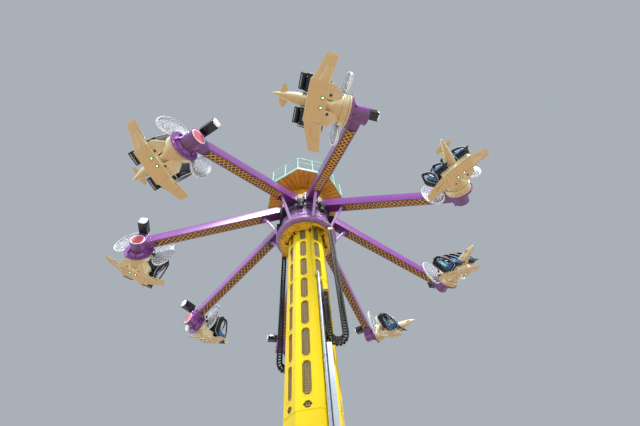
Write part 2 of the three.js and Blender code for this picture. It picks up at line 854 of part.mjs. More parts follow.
for (let k = 0; k < ARMS; k++) {
  const tip = new THREE.Group();
  const azimuth = FIRST_ARM + 45 * k;
  const [x, y] = polar(TIP_R, azimuth);
  tip.position.set(x, y, TIP_Z);
  tip.rotation.z = azimuth * RAD;
  tip.add(node("arm_" + (k + 1), arm(), "purple"));
  const plane = new THREE.Group();
  plane.rotation.y = -ROLL * RAD;
  plane.add(
    node("airframe_" + (k + 1), airframe(), "cream"),
    node("seats_" + (k + 1), seatPair(), "black"),
    node("propeller_" + (k + 1), propeller(), "frosted"),
  );
  tip.add(plane);
  ride.add(tip);
}

export default ride;
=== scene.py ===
"""Looks of a self-control plane ride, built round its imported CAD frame.

Lengths are millimetres in the classes and metres in Blender. A plane hangs behind
the tip of its arm, and a distance "behind" the arm is counted along the plane's -Y.
"""

import json
import logging
import math
from dataclasses import dataclass, field
from enum import Enum

import bmesh
import bpy
from mathutils import Matrix, Vector

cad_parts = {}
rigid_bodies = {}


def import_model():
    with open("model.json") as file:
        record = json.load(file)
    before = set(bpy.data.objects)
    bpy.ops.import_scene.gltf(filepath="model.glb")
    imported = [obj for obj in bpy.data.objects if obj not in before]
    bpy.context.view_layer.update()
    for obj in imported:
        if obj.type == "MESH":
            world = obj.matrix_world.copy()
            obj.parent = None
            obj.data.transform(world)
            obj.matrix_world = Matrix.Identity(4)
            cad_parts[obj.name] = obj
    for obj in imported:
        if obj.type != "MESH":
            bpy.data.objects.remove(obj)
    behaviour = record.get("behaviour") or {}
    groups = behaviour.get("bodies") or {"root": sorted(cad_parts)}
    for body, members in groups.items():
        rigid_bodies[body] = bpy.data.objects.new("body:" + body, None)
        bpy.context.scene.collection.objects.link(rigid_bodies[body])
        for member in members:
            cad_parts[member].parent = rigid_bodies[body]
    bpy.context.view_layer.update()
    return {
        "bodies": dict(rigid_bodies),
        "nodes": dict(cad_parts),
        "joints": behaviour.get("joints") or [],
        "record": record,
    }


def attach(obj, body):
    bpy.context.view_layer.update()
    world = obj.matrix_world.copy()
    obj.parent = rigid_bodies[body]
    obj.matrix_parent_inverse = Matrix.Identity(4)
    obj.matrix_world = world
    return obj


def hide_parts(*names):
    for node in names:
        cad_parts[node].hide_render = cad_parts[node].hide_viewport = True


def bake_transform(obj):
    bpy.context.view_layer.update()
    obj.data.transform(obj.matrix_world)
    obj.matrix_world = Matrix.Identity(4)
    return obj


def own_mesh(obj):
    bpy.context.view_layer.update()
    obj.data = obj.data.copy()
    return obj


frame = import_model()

MM = 0.001
LOG = logging.getLogger("plane_ride")
# Metres within which points of a mesh are one, and edges that short are dropped.
WELD, SLIVER = 2e-6, 1e-7
# Arms, planes, and sides of the tower and of the deck, and the angle between two of them.
COUNT = 8
STEP = 360 / COUNT
# Azimuth of the first arm, which is also the middle of a side of the deck.
FIRST_ARM = -67.5
# Heights of a face's normal between which a face starts and ends to take the painted shade of faces
# that look down.
PAINTED_SHADE_NORMALS = (-0.5, -0.97)

Pair = tuple[float, float]
Triple = tuple[float, float, float]


class Slot(Enum):
    """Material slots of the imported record."""

    TOWER = "tower_paint"
    ARM = "arm_paint"
    PLANE = "plane_shell"
    SEAT = "seat_shell"
    PADDLE = "paddle_skin"
    RAIL = "rail_paint"
    DECK = "deck_paint"
    STEEL = "steel"
    DRIVE = "drive_metal"
    LINKS = "carrier_links"


def linear(code: str) -> tuple[float, float, float, float]:
    """Turns an sRGB hex colour to linear light.

    Args:
        code: six hex digits, such as "F2D52A".

    Returns:
        Red, green, blue and an alpha of 1.
    """
    values = [int(code[i : i + 2], 16) / 255 for i in (0, 2, 4)]
    curve = [v / 12.92 if v <= 0.04045 else ((v + 0.055) / 1.055) ** 2.4 for v in values]
    return (*curve, 1.0)


def add(
    tree: bpy.types.NodeTree,
    kind: str,
    settings: dict[str, object] | None = None,
    inputs: dict[object, object] | None = None,
) -> bpy.types.Node:
    """Adds a shader node.

    Args:
        tree: the material's node tree.
        kind: the node's type name.
        settings: attributes to set on the node.
        inputs: socket names with a value, or with the socket that feeds them.

    Returns:
        The new node.
    """
    node = tree.nodes.new(kind)
    for name, value in (settings or {}).items():
        setattr(node, name, value)
    for name, value in (inputs or {}).items():
        if isinstance(value, bpy.types.NodeSocket):
            tree.links.new(value, node.inputs[name])
        else:
            node.inputs[name].default_value = value
    return node


@dataclass(frozen=True)
class Graph:
    """A material's nodes while they are wired up.

    Attributes:
        tree: the node tree.
        place: the coordinates that the patterns lie on.
        shader: the principled shader.
    """

    tree: bpy.types.NodeTree
    place: bpy.types.NodeSocket
    shader: bpy.types.Node

    def pattern(self, kind: str, size_mm: float, **more: object) -> bpy.types.Node:
        """Adds a texture with features of about that size, and with more inputs set."""
        inputs = {"Vector": self.place, "Scale": 1 / (size_mm * MM), **more}
        return add(self.tree, "ShaderNodeTex" + kind, None, inputs)

    def ranged(
        self, value: bpy.types.NodeSocket, known: Pair, wanted: Pair, smooth: bool = False
    ) -> bpy.types.NodeSocket:
        """Maps a value from one range to another.

        Args:
            value: what is mapped.
            known: ends of its own range.
            wanted: what they become.
            smooth: whether the map eases in and out, else it is straight.

        Returns:
            The mapped value.
        """
        ends = zip(("From Min", "From Max", "To Min", "To Max"), (*known, *wanted))
        settings = {"interpolation_type": "SMOOTHSTEP" if smooth else "LINEAR"}
        node = add(self.tree, "ShaderNodeMapRange", settings, {"Value": value, **dict(ends)})
        return node.outputs["Result"]

    def mixed(self, share: object, first: object, second: object) -> bpy.types.NodeSocket:
        """Mixes two colours, of which the second has that share."""
        inputs = {0: share, 6: first, 7: second}
        return add(self.tree, "ShaderNodeMix", {"data_type": "RGBA"}, inputs).outputs[2]

    def painted_shade_share(self) -> bpy.types.NodeSocket:
        """How much a face looks down, from 0 to 1: the mask of the painted shade on undersides."""
        way = add(self.tree, "ShaderNodeTexCoord").outputs["Normal"]
        height = add(self.tree, "ShaderNodeSeparateXYZ", None, {"Vector": way}).outputs["Z"]
        return self.ranged(height, PAINTED_SHADE_NORMALS, (0.0, 1.0), True)

    def paint(self, colour: bpy.types.NodeSocket, rough: bpy.types.NodeSocket) -> None:
        """Feeds the shader's colour and roughness."""
        self.tree.links.new(colour, self.shader.inputs["Base Color"])
        self.tree.links.new(rough, self.shader.inputs["Roughness"])

    def bump(self, height: bpy.types.NodeSocket, depth_mm: float, strength: float) -> None:
        """Feeds the shader's normal with a relief of that depth."""
        inputs = {"Height": height, "Distance": depth_mm * MM, "Strength": strength}
        node = add(self.tree, "ShaderNodeBump", None, inputs)
        self.tree.links.new(node.outputs["Normal"], self.shader.inputs["Normal"])


@dataclass(frozen=True)
class Finish:
    """A surface: its colour, how it meets light, and the marks that it carries.

    Attributes:
        name: the material's name, for what it is and how it was made.
        colour: sRGB hex of the clean surface.
        soiled: sRGB hex of the same surface where dust and rain have stained it.
        soil: share of the surface that is stained, from 0 to 1.
        cloud_mm: size of the soft patches of colour.
        streak: how much longer than wide a stain is, for the run of rain water.
        grain_mm: size of the fine relief.
        relief_mm: height of the fine relief.
        roughness: of the clean surface.
        rough_change: how far the roughness wanders in the stains.
        metallic: 1 for bare metal.
        coat: weight of a clear top coat.
        coat_roughness: of that top coat.
        sheen: weight of the soft edge light of fabric or dust.
        transmission: share of light that passes through.
        ior: index of refraction, None for the default.
        glow: strength of the surface's own light.
        below: sRGB hex painted on faces that look down as painted shade, None for no painted shade.
    """

    name: str
    colour: str
    soiled: str
    soil: float = 0.35
    cloud_mm: float = 420.0
    streak: float = 3.0
    grain_mm: float = 9.0
    relief_mm: float = 0.15
    roughness: float = 0.4
    rough_change: float = 0.18
    metallic: float = 0.0
    coat: float = 0.0
    coat_roughness: float = 0.1
    sheen: float = 0.0
    transmission: float = 0.0
    ior: float | None = None
    glow: float = 0.0
    below: str | None = None

    def material(self) -> bpy.types.Material:
        """Makes the material, or returns it if it is made already."""
        found = bpy.data.materials.get(self.name)
        if found:
            return found
        made = bpy.data.materials.new(self.name)
        made.use_nodes = True
        tree = made.node_tree
        shader = tree.nodes["Principled BSDF"]
        graph = Graph(tree, add(tree, "ShaderNodeTexCoord").outputs["Object"], shader)
        self.stain(graph)
        self.relief(graph)
        fixed = {
            "Metallic": self.metallic,
            "Coat Weight": self.coat,
            "Coat Roughness": self.coat_roughness,
            "Sheen Weight": self.sheen,
            "Transmission Weight": self.transmission,
            "Emission Strength": self.glow,
            "Emission Color": linear(self.colour),
        }
        if self.ior:
            fixed["IOR"] = self.ior
        for name, value in fixed.items():
            shader.inputs[name].default_value = value
        return made

    def stain(self, graph: Graph) -> None:
        """Lays clouds and rain runs over the colour and the roughness, and painted shade on faces
        that look down.
        """
        scale = {"Vector": graph.place, "Scale": (1, 1, 1 / self.streak)}
        run = add(graph.tree, "ShaderNodeMapping", None, scale).outputs["Vector"]
        clouds = graph.pattern("Noise", self.cloud_mm, Vector=run, Detail=6.0, Roughness=0.62)
        cloud = clouds.outputs["Fac"]
        known = (0.74 - 0.5 * self.soil, 0.92 - 0.3 * self.soil)
        share = graph.ranged(cloud, known, (0.0, 0.4 + 0.5 * self.soil), True)
        colour = graph.mixed(share, linear(self.colour), linear(self.soiled))
        # Painted shade: faces that look down blend into the darker below colour.
        if self.below:
            colour = graph.mixed(graph.painted_shade_share(), colour, linear(self.below))
        low = max(0.03, self.roughness - self.rough_change / 2)
        high = min(1.0, self.roughness + self.rough_change)
        graph.paint(colour, graph.ranged(cloud, (0.0, 1.0), (low, high)))

    def relief(self, graph: Graph) -> None:
        """Gives the surface its fine relief."""
        grain = graph.pattern("Noise", self.grain_mm, Detail=3.0)
        graph.bump(grain.outputs["Fac"], self.relief_mm, 0.6)


@dataclass(frozen=True)
class ZincCoat(Finish):
    """Steel dipped in molten zinc, whose crystals show as angular pale and dark flakes."""

    flake_mm: float = 26.0

    def stain(self, graph: Graph) -> None:
        """Lays zinc flakes over the colour and the roughness."""
        flakes = graph.pattern("Voronoi", self.flake_mm).outputs["Color"]
        split = add(graph.tree, "ShaderNodeSeparateColor", None, {"Color": flakes})
        tone = split.outputs["Red"]
        colour = graph.mixed(tone, linear(self.colour), linear(self.soiled))
        ends = (self.roughness, self.roughness + self.rough_change)
        graph.paint(colour, graph.ranged(tone, (0.0, 1.0), ends))


@dataclass(frozen=True)
class ChequerPlate(Finish):
    """Rolled steel floor plate with raised lozenges, painted."""

    lozenge_mm: float = 60.0
    height_mm: float = 2.5

    def relief(self, graph: Graph) -> None:
        """Raises the lozenges, crossed waves drawn twice as coarse as a real plate's."""
        waves = [graph.pattern("Wave", 2 * self.lozenge_mm) for _ in "XY"]
        for wave, direction in zip(waves, "XY"):
            wave.bands_direction = direction
        inputs = {k: wave.outputs["Fac"] for k, wave in enumerate(waves)}
        crossed = add(graph.tree, "ShaderNodeMath", {"operation": "MULTIPLY"}, inputs)
        graph.bump(crossed.outputs["Value"], self.height_mm, 0.8)


# Two-pack paint sprayed on welded steel: an even bright coat, dulled where rain ran down it.
YELLOW_PAINT = Finish(
    "yellow_sprayed_paint", "F7D90F", "C08F12", 0.24, 620, 5, 11, 0.2, 0.36, 0.2, coat=0.25
)
# The same yellow on the climbing carriage, darkened to orange as painted shade under the hub, with
# brown clouds for the grease of its rollers.
GREASED_SHADED_PAINT = Finish("greased_shaded_yellow_paint", "D9A21A", "6E4510", 0.55, 260, 1.5, 8, 0.2, 0.42)
# Gloss purple over steel: its clear coat takes the pale lilac of the light above. Faces that look
# down get a painted plum shade.
PURPLE_PAINT = Finish(
    "purple_sprayed_paint", "8A459E", "5A2468", 0.3, 540, 3, 10, 0.15, 0.28, 0.15, coat=0.7,
    below="5A1F58",
)
# Dark plum plate under the arms, painted shade of their undersides and the ground of the gilt
# bands.
PLUM_SHADE_PLATE = Finish("plum_painted_shade", "451733", "2A0F20", 0.35, 260, 2, 8, 0.15, 0.35, coat=0.3)
# Paler lilac of the braces and lids, worn to a chalky bloom.
LILAC_PAINT = Finish(
    "lilac_sprayed_paint", "C79BD8", "8F62A4", 0.32, 300, 2, 9, 0.15, 0.34, 0.15, coat=0.4
)
# The hub's paint, greyed by brake dust and grease that creep out of its bearings.
DUSTY_LILAC = Finish("dusty_lilac_paint", "A27BB4", "4C4046", 0.55, 240, 1.4, 7, 0.3, 0.42, 0.25)
# Gilt sign paint laid by stencil, a little metallic, so that it glints against the purple.
GILT_PAINT = Finish("gilt_stencil_paint", "DDA62A", "A8741A", 0.4, 90, 1, 3, 0.1, 0.3, 0.2, 0.6)
# Gelcoat moulded over glass fibre: creamy, waxed, with clouds of ochre dust, and a painted tan
# shade on its faces that look down.
CREAM_GELCOAT = Finish(
    "cream_gelcoat", "F2E6BE", "C2A470", 0.26, 210, 1.6, 14, 0.12, 0.28, 0.2, coat=0.5,
    below="BC9762",
)
# The same gelcoat under the wing box, painted tan as the shade of the underside.
SHADE_TAN_GELCOAT = Finish(
    "painted_shade_gelcoat", "C29A62", "946E3C", 0.4, 180, 1.2, 12, 0.12, 0.34, 0.2, coat=0.35
)
# Rotomoulded black plastic with the dull pebble of its mould.
BLACK_MOULDING = Finish("black_rotomoulding", "101116", "26272C", 0.3, 120, 1, 3, 0.35, 0.5)
# Vinyl over foam, deep blue, softly shining where riders polish it.
BLUE_VINYL = Finish(
    "blue_stitched_vinyl", "145C9E", "0E3E70", 0.4, 80, 1, 2.5, 0.3, 0.4, 0.2, sheen=0.15
)
# Vinyl over foam, teal, for the back panels.
TEAL_VINYL = Finish(
    "teal_stitched_vinyl", "1E7F98", "155A6C", 0.35, 80, 1, 2.5, 0.3, 0.4, 0.2, sheen=0.15
)
# White vinyl piping and lids, greyed by hands.
WHITE_PIPING = Finish("white_vinyl_piping", "ECEEF0", "B9BCBF", 0.3, 60, 1, 2, 0.1, 0.35)
# Coral enamel of the plain discs that close the arm ends.
CORAL_ENAMEL = Finish("coral_enamel", "E2707C", "B8505E", 0.3, 120, 1, 5, 0.12, 0.3, coat=0.5)
# White powder-coated edge of the paddles.
HOOP_POWDER = Finish("white_powder_coat", "F1F3F5", "C5C9CF", 0.28, 160, 1.5, 5, 0.15, 0.4)
# Acrylic sheet blasted to a haze: light comes through it, shapes behind it stay soft.
HAZED_ACRYLIC = Finish(
    "hazed_acrylic", "F0F4F8", "D5DCE4", 0.3, 260, 1, 6, 0.05, 0.22, 0.1, transmission=0.82
)
# Mint enamel sprayed on the guard rail's tubes.
MINT_ENAMEL = Finish("mint_enamel", "9FE6D6", "6FAE9E", 0.28, 260, 3, 6, 0.12, 0.4, coat=0.25)
# Ochre floor paint over rolled plate, scuffed matt.
OCHRE_PLATE = ChequerPlate("ochre_floor_plate", "D08A1C", "8A5818", 0.45, 330, 1, 12, 0.3, 0.58)
# Hot-dipped steel of the conduit and fixings: grey flakes, half bright.
ZINC_STEEL = ZincCoat("hot_dipped_steel", "B8BBBE", "8F9397", roughness=0.34, metallic=1.0)
# Folded zinc sheet of the carrier troughs, brighter, with larger flakes.
ZINC_SHEET = ZincCoat(
    "folded_zinc_sheet", "D3DCE6", "B3BFCC", roughness=0.3, metallic=0.75, flake_mm=45.0
)
# Cast iron motor housings under dark enamel, dusty in their fins.
MOTOR_ENAMEL = Finish("dark_motor_enamel", "2F2B2A", "6B5D4E", 0.4, 110, 1, 5, 0.3, 0.5)
# Beige cabinets and cover plates round the hub, stained brown.
BEIGE_COVER = Finish("beige_stove_enamel", "B9AE98", "6A5640", 0.5, 150, 1.5, 6, 0.2, 0.45)
# Glass-filled nylon of the cable carrier's links, black with a grey bloom on its ribs.
LINK_NYLON = Finish("black_link_nylon", "060607", "141517", 0.3, 90, 1, 3, 0.25, 0.42, ior=1.3)
# Rubber hose and cable jackets.
RUBBER = Finish("black_rubber_hose", "0C0D0F", "26272A", 0.3, 60, 1, 2, 0.15, 0.55)
# Smoked acrylic of the blank display panels: near black and mirror smooth.
SMOKED_PANEL = Finish("smoked_acrylic", "0D0E12", "17181E", 0.2, 200, 1, 60, 0.02, 0.12, 0.05)
# Green lamp lens lit from behind.
GREEN_LENS = Finish("green_lamp_lens", "27D84A", "19B83A", 0.2, 20, 1, 4, 0.1, 0.2, glow=1.0)
# The lamp's bright middle, where the diodes outshine the tint.
LAMP_CORE = Finish("lit_lamp_core", "D2FFDC", "B4F7C4", 0.2, 20, 1, 4, 0.1, 0.2, glow=2.0)
# Milled teeth of the rack, pale where the pinions wipe them and dark with grease between.
RACK_TEETH = Finish("milled_rack_teeth", "A8946C", "5C4A2E", 0.55, 60, 1, 4, 0.25, 0.4)
# Old grease on the rack's bars, deep in the tower.
RACK_GREASE = Finish("greased_rack_steel", "4A361F", "291D10", 0.5, 70, 1, 4, 0.3, 0.5)
# Poured and floated concrete, sealed pale.
PALE_CONCRETE = Finish("floated_concrete", "C4C1BC", "B6B3AE", 0.2, 2600, 1, 40, 0.2, 0.75)


def turn(axis: str, degrees: float) -> Matrix:
    """Rotation about a named axis, in degrees."""
    return Matrix.Rotation(math.radians(degrees), 4, axis)


def shift(x: float, y: float, z: float) -> Matrix:
    """Move by millimetres."""
    return Matrix.Translation((x, y, z))


def facing(x: float, y: float, z: float) -> Matrix:
    """Frame of an outline that stands up and looks along X: its X lies along Y."""
    return Matrix(((0, 0, 1, x), (1, 0, 0, y), (0, 1, 0, z), (0, 0, 0, 1)))


def upright(x: float, y: float, z: float) -> Matrix:
    """Frame of an outline that stands up in X and Z, and is laid out in depth along Y."""
    return Matrix(((1, 0, 0, x), (0, 0, 1, y), (0, 1, 0, z), (0, 0, 0, 1)))


def polar(radius: float, degrees: float) -> Pair:
    """Point on a circle about the origin."""
    angle = math.radians(degrees)
    return radius * math.cos(angle), radius * math.sin(angle)


def aim(start: Triple, end: Triple) -> Matrix:
    """Frame at start whose Z runs to end."""
    way = Vector(end) - Vector(start)
    return Matrix.Translation(start) @ way.to_track_quat("Z", "Y").to_matrix().to_4x4()


def rounded(width: float, height: float, corner: float, steps: int = 4) -> list[Pair]:
    """Outline of a rectangle with round corners, centred on the origin.

    Args:
        width: along X.
        height: along Y.
        corner: radius of the corners.
        steps: parts in each corner.

    Returns:
        The outline's points.
    """
    points = []
    for k, (sx, sy) in enumerate(((1, -1), (1, 1), (-1, 1), (-1, -1))):
        for i in range(steps + 1):
            x, y = polar(corner, -90 + 90 * k + 90 * i / steps)
            points.append((sx * (width / 2 - corner) + x, sy * (height / 2 - corner) + y))
    return points


def oval(width: float, height: float, count: int = 48) -> list[Pair]:
    """Outline of an ellipse centred on the origin."""
    angles = [2 * math.pi * k / count for k in range(count)]
    return [(width / 2 * math.cos(a), height / 2 * math.sin(a)) for a in angles]


def inset(outline: list[Pair], depth: float) -> list[Pair]:
    """Outline moved inwards.

    Args:
        outline: points that run counter-clockwise.
        depth: distance to move them.

    Returns:
        As many points.
    """
    made = []
    count = len(outline)
    for k, (x, y) in enumerate(outline):
        ax, ay = outline[k - 1]
        bx, by = outline[(k + 1) % count]
        along, back = Vector((bx - x, by - y)), Vector((x - ax, y - ay))
        if along.length < 1e-6 or back.length < 1e-6:
            made.append((x, y))
            continue
        along.normalize()
        back.normalize()
        inward = Vector((-(along.y + back.y), along.x + back.x))
        inward.normalize()
        stretch = max(0.5, inward.dot(Vector((-along.y, along.x))))
        made.append((x + inward.x * depth / stretch, y + inward.y * depth / stretch))
    return made


def rays(outline: list[Pair], centre: Pair, count: int = 64) -> list[Pair]:
    """Spreads points over an outline by their bearing from a point within it.

    Args:
        outline: its corners.
        centre: the point within it.
        count: how many points.

    Returns:
        The points, counter-clockwise from the bearing of +X.
    """
    cx, cy = centre
    made = []
    for k in range(count):
        dx, dy = polar(1.0, 360 * k / count)
        far = 0.0
        for (ax, ay), (bx, by) in zip(outline, outline[1:] + outline[:1]):
            ex, ey = bx - ax, by - ay
            area = ex * dy - ey * dx
            if abs(area) < 1e-9:
                continue
            reach = (ex * (ay - cy) - ey * (ax - cx)) / area
            share = (dx * (ay - cy) - dy * (ax - cx)) / area
            if -1e-9 <= share <= 1 + 1e-9:
                far = max(far, reach)
        made.append((cx + dx * far, cy + dy * far))
    return made


def softened(outline: tuple[Pair, ...] | list[Pair], cut: float) -> list[Pair]:
    """Outline with its corners rounded off.

    Args:
        outline: its corners.
        cut: most that is taken off each side of a corner.

    Returns:
        A finer outline.
    """
    made = []
    count = len(outline)
    for k, corner in enumerate(outline):
        here = Vector(corner)
        back = Vector(outline[k - 1]) - here
        ahead = Vector(outline[(k + 1) % count]) - here
        a = here + back.normalized() * min(cut, back.length * 0.45)
        b = here + ahead.normalized() * min(cut, ahead.length * 0.45)
        for t in (0.0, 0.33, 0.67, 1.0):
            made.append(tuple(a * (1 - t) ** 2 + here * 2 * t * (1 - t) + b * t**2))
    return made


def flowing(points: list[Triple], steps: int) -> list[Vector]:
    """Smooth line through points.

    Args:
        points: what the line passes through.
        steps: parts between two of them.

    Returns:
        The points of the line.
    """
    known = [Vector(p) for p in points]
    known = [2 * known[0] - known[1], *known, 2 * known[-1] - known[-2]]
    line = []
    for k in range(1, len(known) - 2):
        a, b, c, d = known[k - 1 : k + 3]
        for i in range(steps):
            t = i / steps
            line.append(
                0.5
                * (
                    2 * b
                    + (c - a) * t
                    + (2 * a - 5 * b + 4 * c - d) * t**2
                    + (3 * b - a - 3 * c + d) * t**3
                )
            )
    return [*line, known[-2]]


class Shape:
    """Closed bodies of one piece, gathered in millimetres."""

    def __init__(self) -> None:
        """Starts empty."""
        self.points: list[Vector] = []
        self.faces: list[tuple[int, ...]] = []
        self.coats: list[int] = []

    def skin(
        self, rings: list[list[Triple]], coat: int = 0, loop: bool = False, place: Matrix = Matrix()
    ) -> None:
        """Adds a body through rings of points.

        Args:
            rings: lists of as many points each.
            coat: which of the piece's finishes it has.
            loop: whether the last ring joins the first, else both ends are closed.
            place: where the body goes.
        """
        base, size, count = len(self.points), len(rings[0]), len(rings)
        for ring in rings:
            self.points += [place @ Vector(p) for p in ring]
        for k in range(count if loop else count - 1):
            low, high = base + k * size, base + (k + 1) % count * size
            for i in range(size):
                j = (i + 1) % size
                self.face((low + i, low + j, high + j, high + i), coat)
        if not loop:
            self.face(tuple(range(base + size - 1, base - 1, -1)), coat)
            last = base + (count - 1) * size
            self.face(tuple(range(last, last + size)), coat)

    def face(self, corners: tuple[int, ...], coat: int) -> None:
        """Adds one face."""
        self.faces.append(corners)
        self.coats.append(coat)

    def slab(
        self,
        outline: list[Pair],
        low: float,
        high: float,
        bevel: float = 4.0,
        coat: int = 0,
        place: Matrix = Matrix(),
    ) -> None:
        """Adds a plate with rounded edges.

        Args:
            outline: its counter-clockwise outline in X and Y.
            low: its lower face.
            high: its upper face.
            bevel: size of the edges' rounding.
            coat: which of the piece's finishes it has.
            place: where the plate goes.
        """
        steps = [(low, bevel), (low + bevel * 0.3, bevel * 0.3), (low + bevel, 0.0)]
        steps += [(high - bevel, 0.0), (high - bevel * 0.3, bevel * 0.3), (high, bevel)]
        rings = [[(x, y, z) for x, y in inset(outline, depth)] for z, depth in steps]
        self.skin(rings, coat, False, place)

    def block(
        self,
        low: Triple,
        high: Triple,
        corner: float = 6.0,
        coat: int = 0,
        place: Matrix = Matrix(),
    ) -> None:
        """Adds a box with rounded edges between two corners.

        Args:
            low: its lowest corner.
            high: its highest corner.
            corner: size of the edges' rounding.
            coat: which of the piece's finishes it has.
            place: where the box goes.
        """
        size = [b - a for a, b in zip(low, high)]
        outline = rounded(size[0], size[1], corner, 3)
        centre = shift((low[0] + high[0]) / 2, (low[1] + high[1]) / 2, 0)
        self.slab(outline, low[2], high[2], corner * 0.7, coat, place @ centre)

    def band(
        self,
        outer: list[Pair],
        inner: list[Pair],
        low: float,
        high: float,
        coat: int = 0,
        place: Matrix = Matrix(),
    ) -> None:
        """Adds a plate with a hole, from two outlines of as many points each.

        Args:
            outer: its outline in X and Y.
            inner: the hole's outline.
            low: its lower face.
            high: its upper face.
            coat: which of the piece's finishes it has.
            place: where the band goes.
        """
        edge = min(3.0, (high - low) / 3)
        rings = []
        for outline, heights in ((outer, (low, high)), (inner, (high, low))):
            grow = -edge if outline is inner else edge
            rings.append([(x, y, heights[0]) for x, y in inset(outline, grow)])
            tilt = edge if heights[0] == low else -edge
            rings.append([(x, y, heights[0] + tilt) for x, y in outline])
            rings.append([(x, y, heights[1] - tilt) for x, y in outline])
            rings.append([(x, y, heights[1]) for x, y in inset(outline, grow)])
        self.skin(rings, coat, True, place)

    def turned(
        self,
        profile: list[Pair],
        steps: int = 48,
        coat: int = 0,
        loop: bool = False,
        place: Matrix = Matrix(),
    ) -> None:
        """Adds a body turned about Z.

        Args:
            profile: radius and height of each step.
            steps: parts round the axis.
            coat: which of the piece's finishes it has.
            loop: whether the profile closes on itself, else its ends are closed flat.
            place: where the body goes.
        """
        rings = []
        for radius, height in profile:
            circle = [polar(max(radius, 0.01), 360 * k / steps) for k in range(steps)]
            rings.append([(x, y, height) for x, y in circle])
        self.skin(rings, coat, loop, place)

    def tube(
        self,
        path: list[Triple] | list[Vector],
        radius: float,
        sides: int = 12,
        coat: int = 0,
        loop: bool = False,
        place: Matrix = Matrix(),
        rib: float = 0.0,
    ) -> None:
        """Adds a round tube along a path.

        Args:
            path: its centre line.
            radius: its radius.
            sides: parts round it.
            coat: which of the piece's finishes it has.
            loop: whether the tube closes on itself.
            place: where the tube goes.
            rib: height of the ribs, on every other point of the path.
        """
        line = [Vector(p) for p in path]
        count = len(line)
        side = None
        rings = []
        for k, point in enumerate(line):
            ahead = line[(k + 1) % count] if loop or k + 1 < count else point
            behind = line[k - 1] if loop or k else point
            way = (ahead - behind).normalized()
            if side is None:
                side = way.orthogonal().normalized()
            side = (side - way * side.dot(way)).normalized()
            other = way.cross(side)
            reach = radius + (rib if k % 2 else 0.0)
            ring = []
            for i in range(sides):
                x, y = polar(reach, 360 * i / sides)
                ring.append(tuple(point + side * x + other * y))
            rings.append(ring)
        self.skin(rings, coat, loop, place)

    def bolt(self, place: Matrix, size: float = 30.0) -> None:
        """Adds a hexagon head on its washer.

        Args:
            place: the seat, with Z out of it.
            size: the head's width across its corners.
        """
        self.turned([(size * 0.68, -1.0), (size * 0.68, size * 0.1)], 16, 1, False, place)
        head = [(size * 0.5, 0.0), (size * 0.5, size * 0.36), (size * 0.42, size * 0.42)]
        self.turned(head, 6, 1, False, place)

    def mesh(self, name: str, finishes: list[Finish], sharp: float = 32.0) -> bpy.types.Mesh:
        """Makes the mesh.

        Args:
            name: its name.
            finishes: its materials, in the order of the coats.
            sharp: edges that turn by more than these degrees stay crisp.

        Returns:
            The mesh, in metres.
        """
        made = bpy.data.meshes.new(name)
        made.from_pydata([p * MM for p in self.points], [], self.faces)
        for finish in finishes:
            made.materials.append(finish.material())
        made.polygons.foreach_set("material_index", [min(c, len(finishes) - 1) for c in self.coats])
        work = bmesh.new()
        work.from_mesh(made)
        bmesh.ops.remove_doubles(work, verts=work.verts, dist=WELD)
        bmesh.ops.dissolve_degenerate(work, edges=work.edges, dist=SLIVER)
        bmesh.ops.recalc_face_normals(work, faces=work.faces)
        work.to_mesh(made)
        work.free()
        made.polygons.foreach_set("use_smooth", [True] * len(made.polygons))
        made.set_sharp_from_angle(angle=math.radians(sharp))
        return made


def appear(name: str, data: bpy.types.ID) -> bpy.types.Object:
    """Puts a mesh, camera or light in the scene as an object."""
    made = bpy.data.objects.new(name, data)
    bpy.context.scene.collection.objects.link(made)
    return made


def metres(place: Matrix) -> Matrix:
    """The same frame, with its move turned from millimetres to metres."""
    placed = place.copy()
    placed.translation = place.translation * MM
    return placed


def install(
    mesh: bpy.types.Mesh,
    name: str,
    body: str,
    place: Matrix = Matrix(),
    nodes: tuple[str, ...] = (),
) -> bpy.types.Object:
    """Puts a piece in the scene on its body, with its place in its mesh as on a CAD node.

    Args:
        mesh: its mesh about its own origin, in metres.
        name: its name.
        body: the CAD body that it rides on.
        place: where it goes, with its move in millimetres.
        nodes: the CAD nodes that it stands for.

    Returns:
        The piece.
    """
    shown = mesh.copy()
    shown.transform(metres(place))
    piece = appear(name, shown)
    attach(piece, body)
    if nodes:
        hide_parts(*nodes)
    LOG.info("%s: %d faces on %s", name, len(mesh.polygons), body)
    return piece


def dress(node: str, finish: Finish) -> None:
    """Gives a carried-over CAD node its finish."""
    shown = frame["nodes"][node]
    shown.data.materials.clear()
    shown.data.materials.append(finish.material())


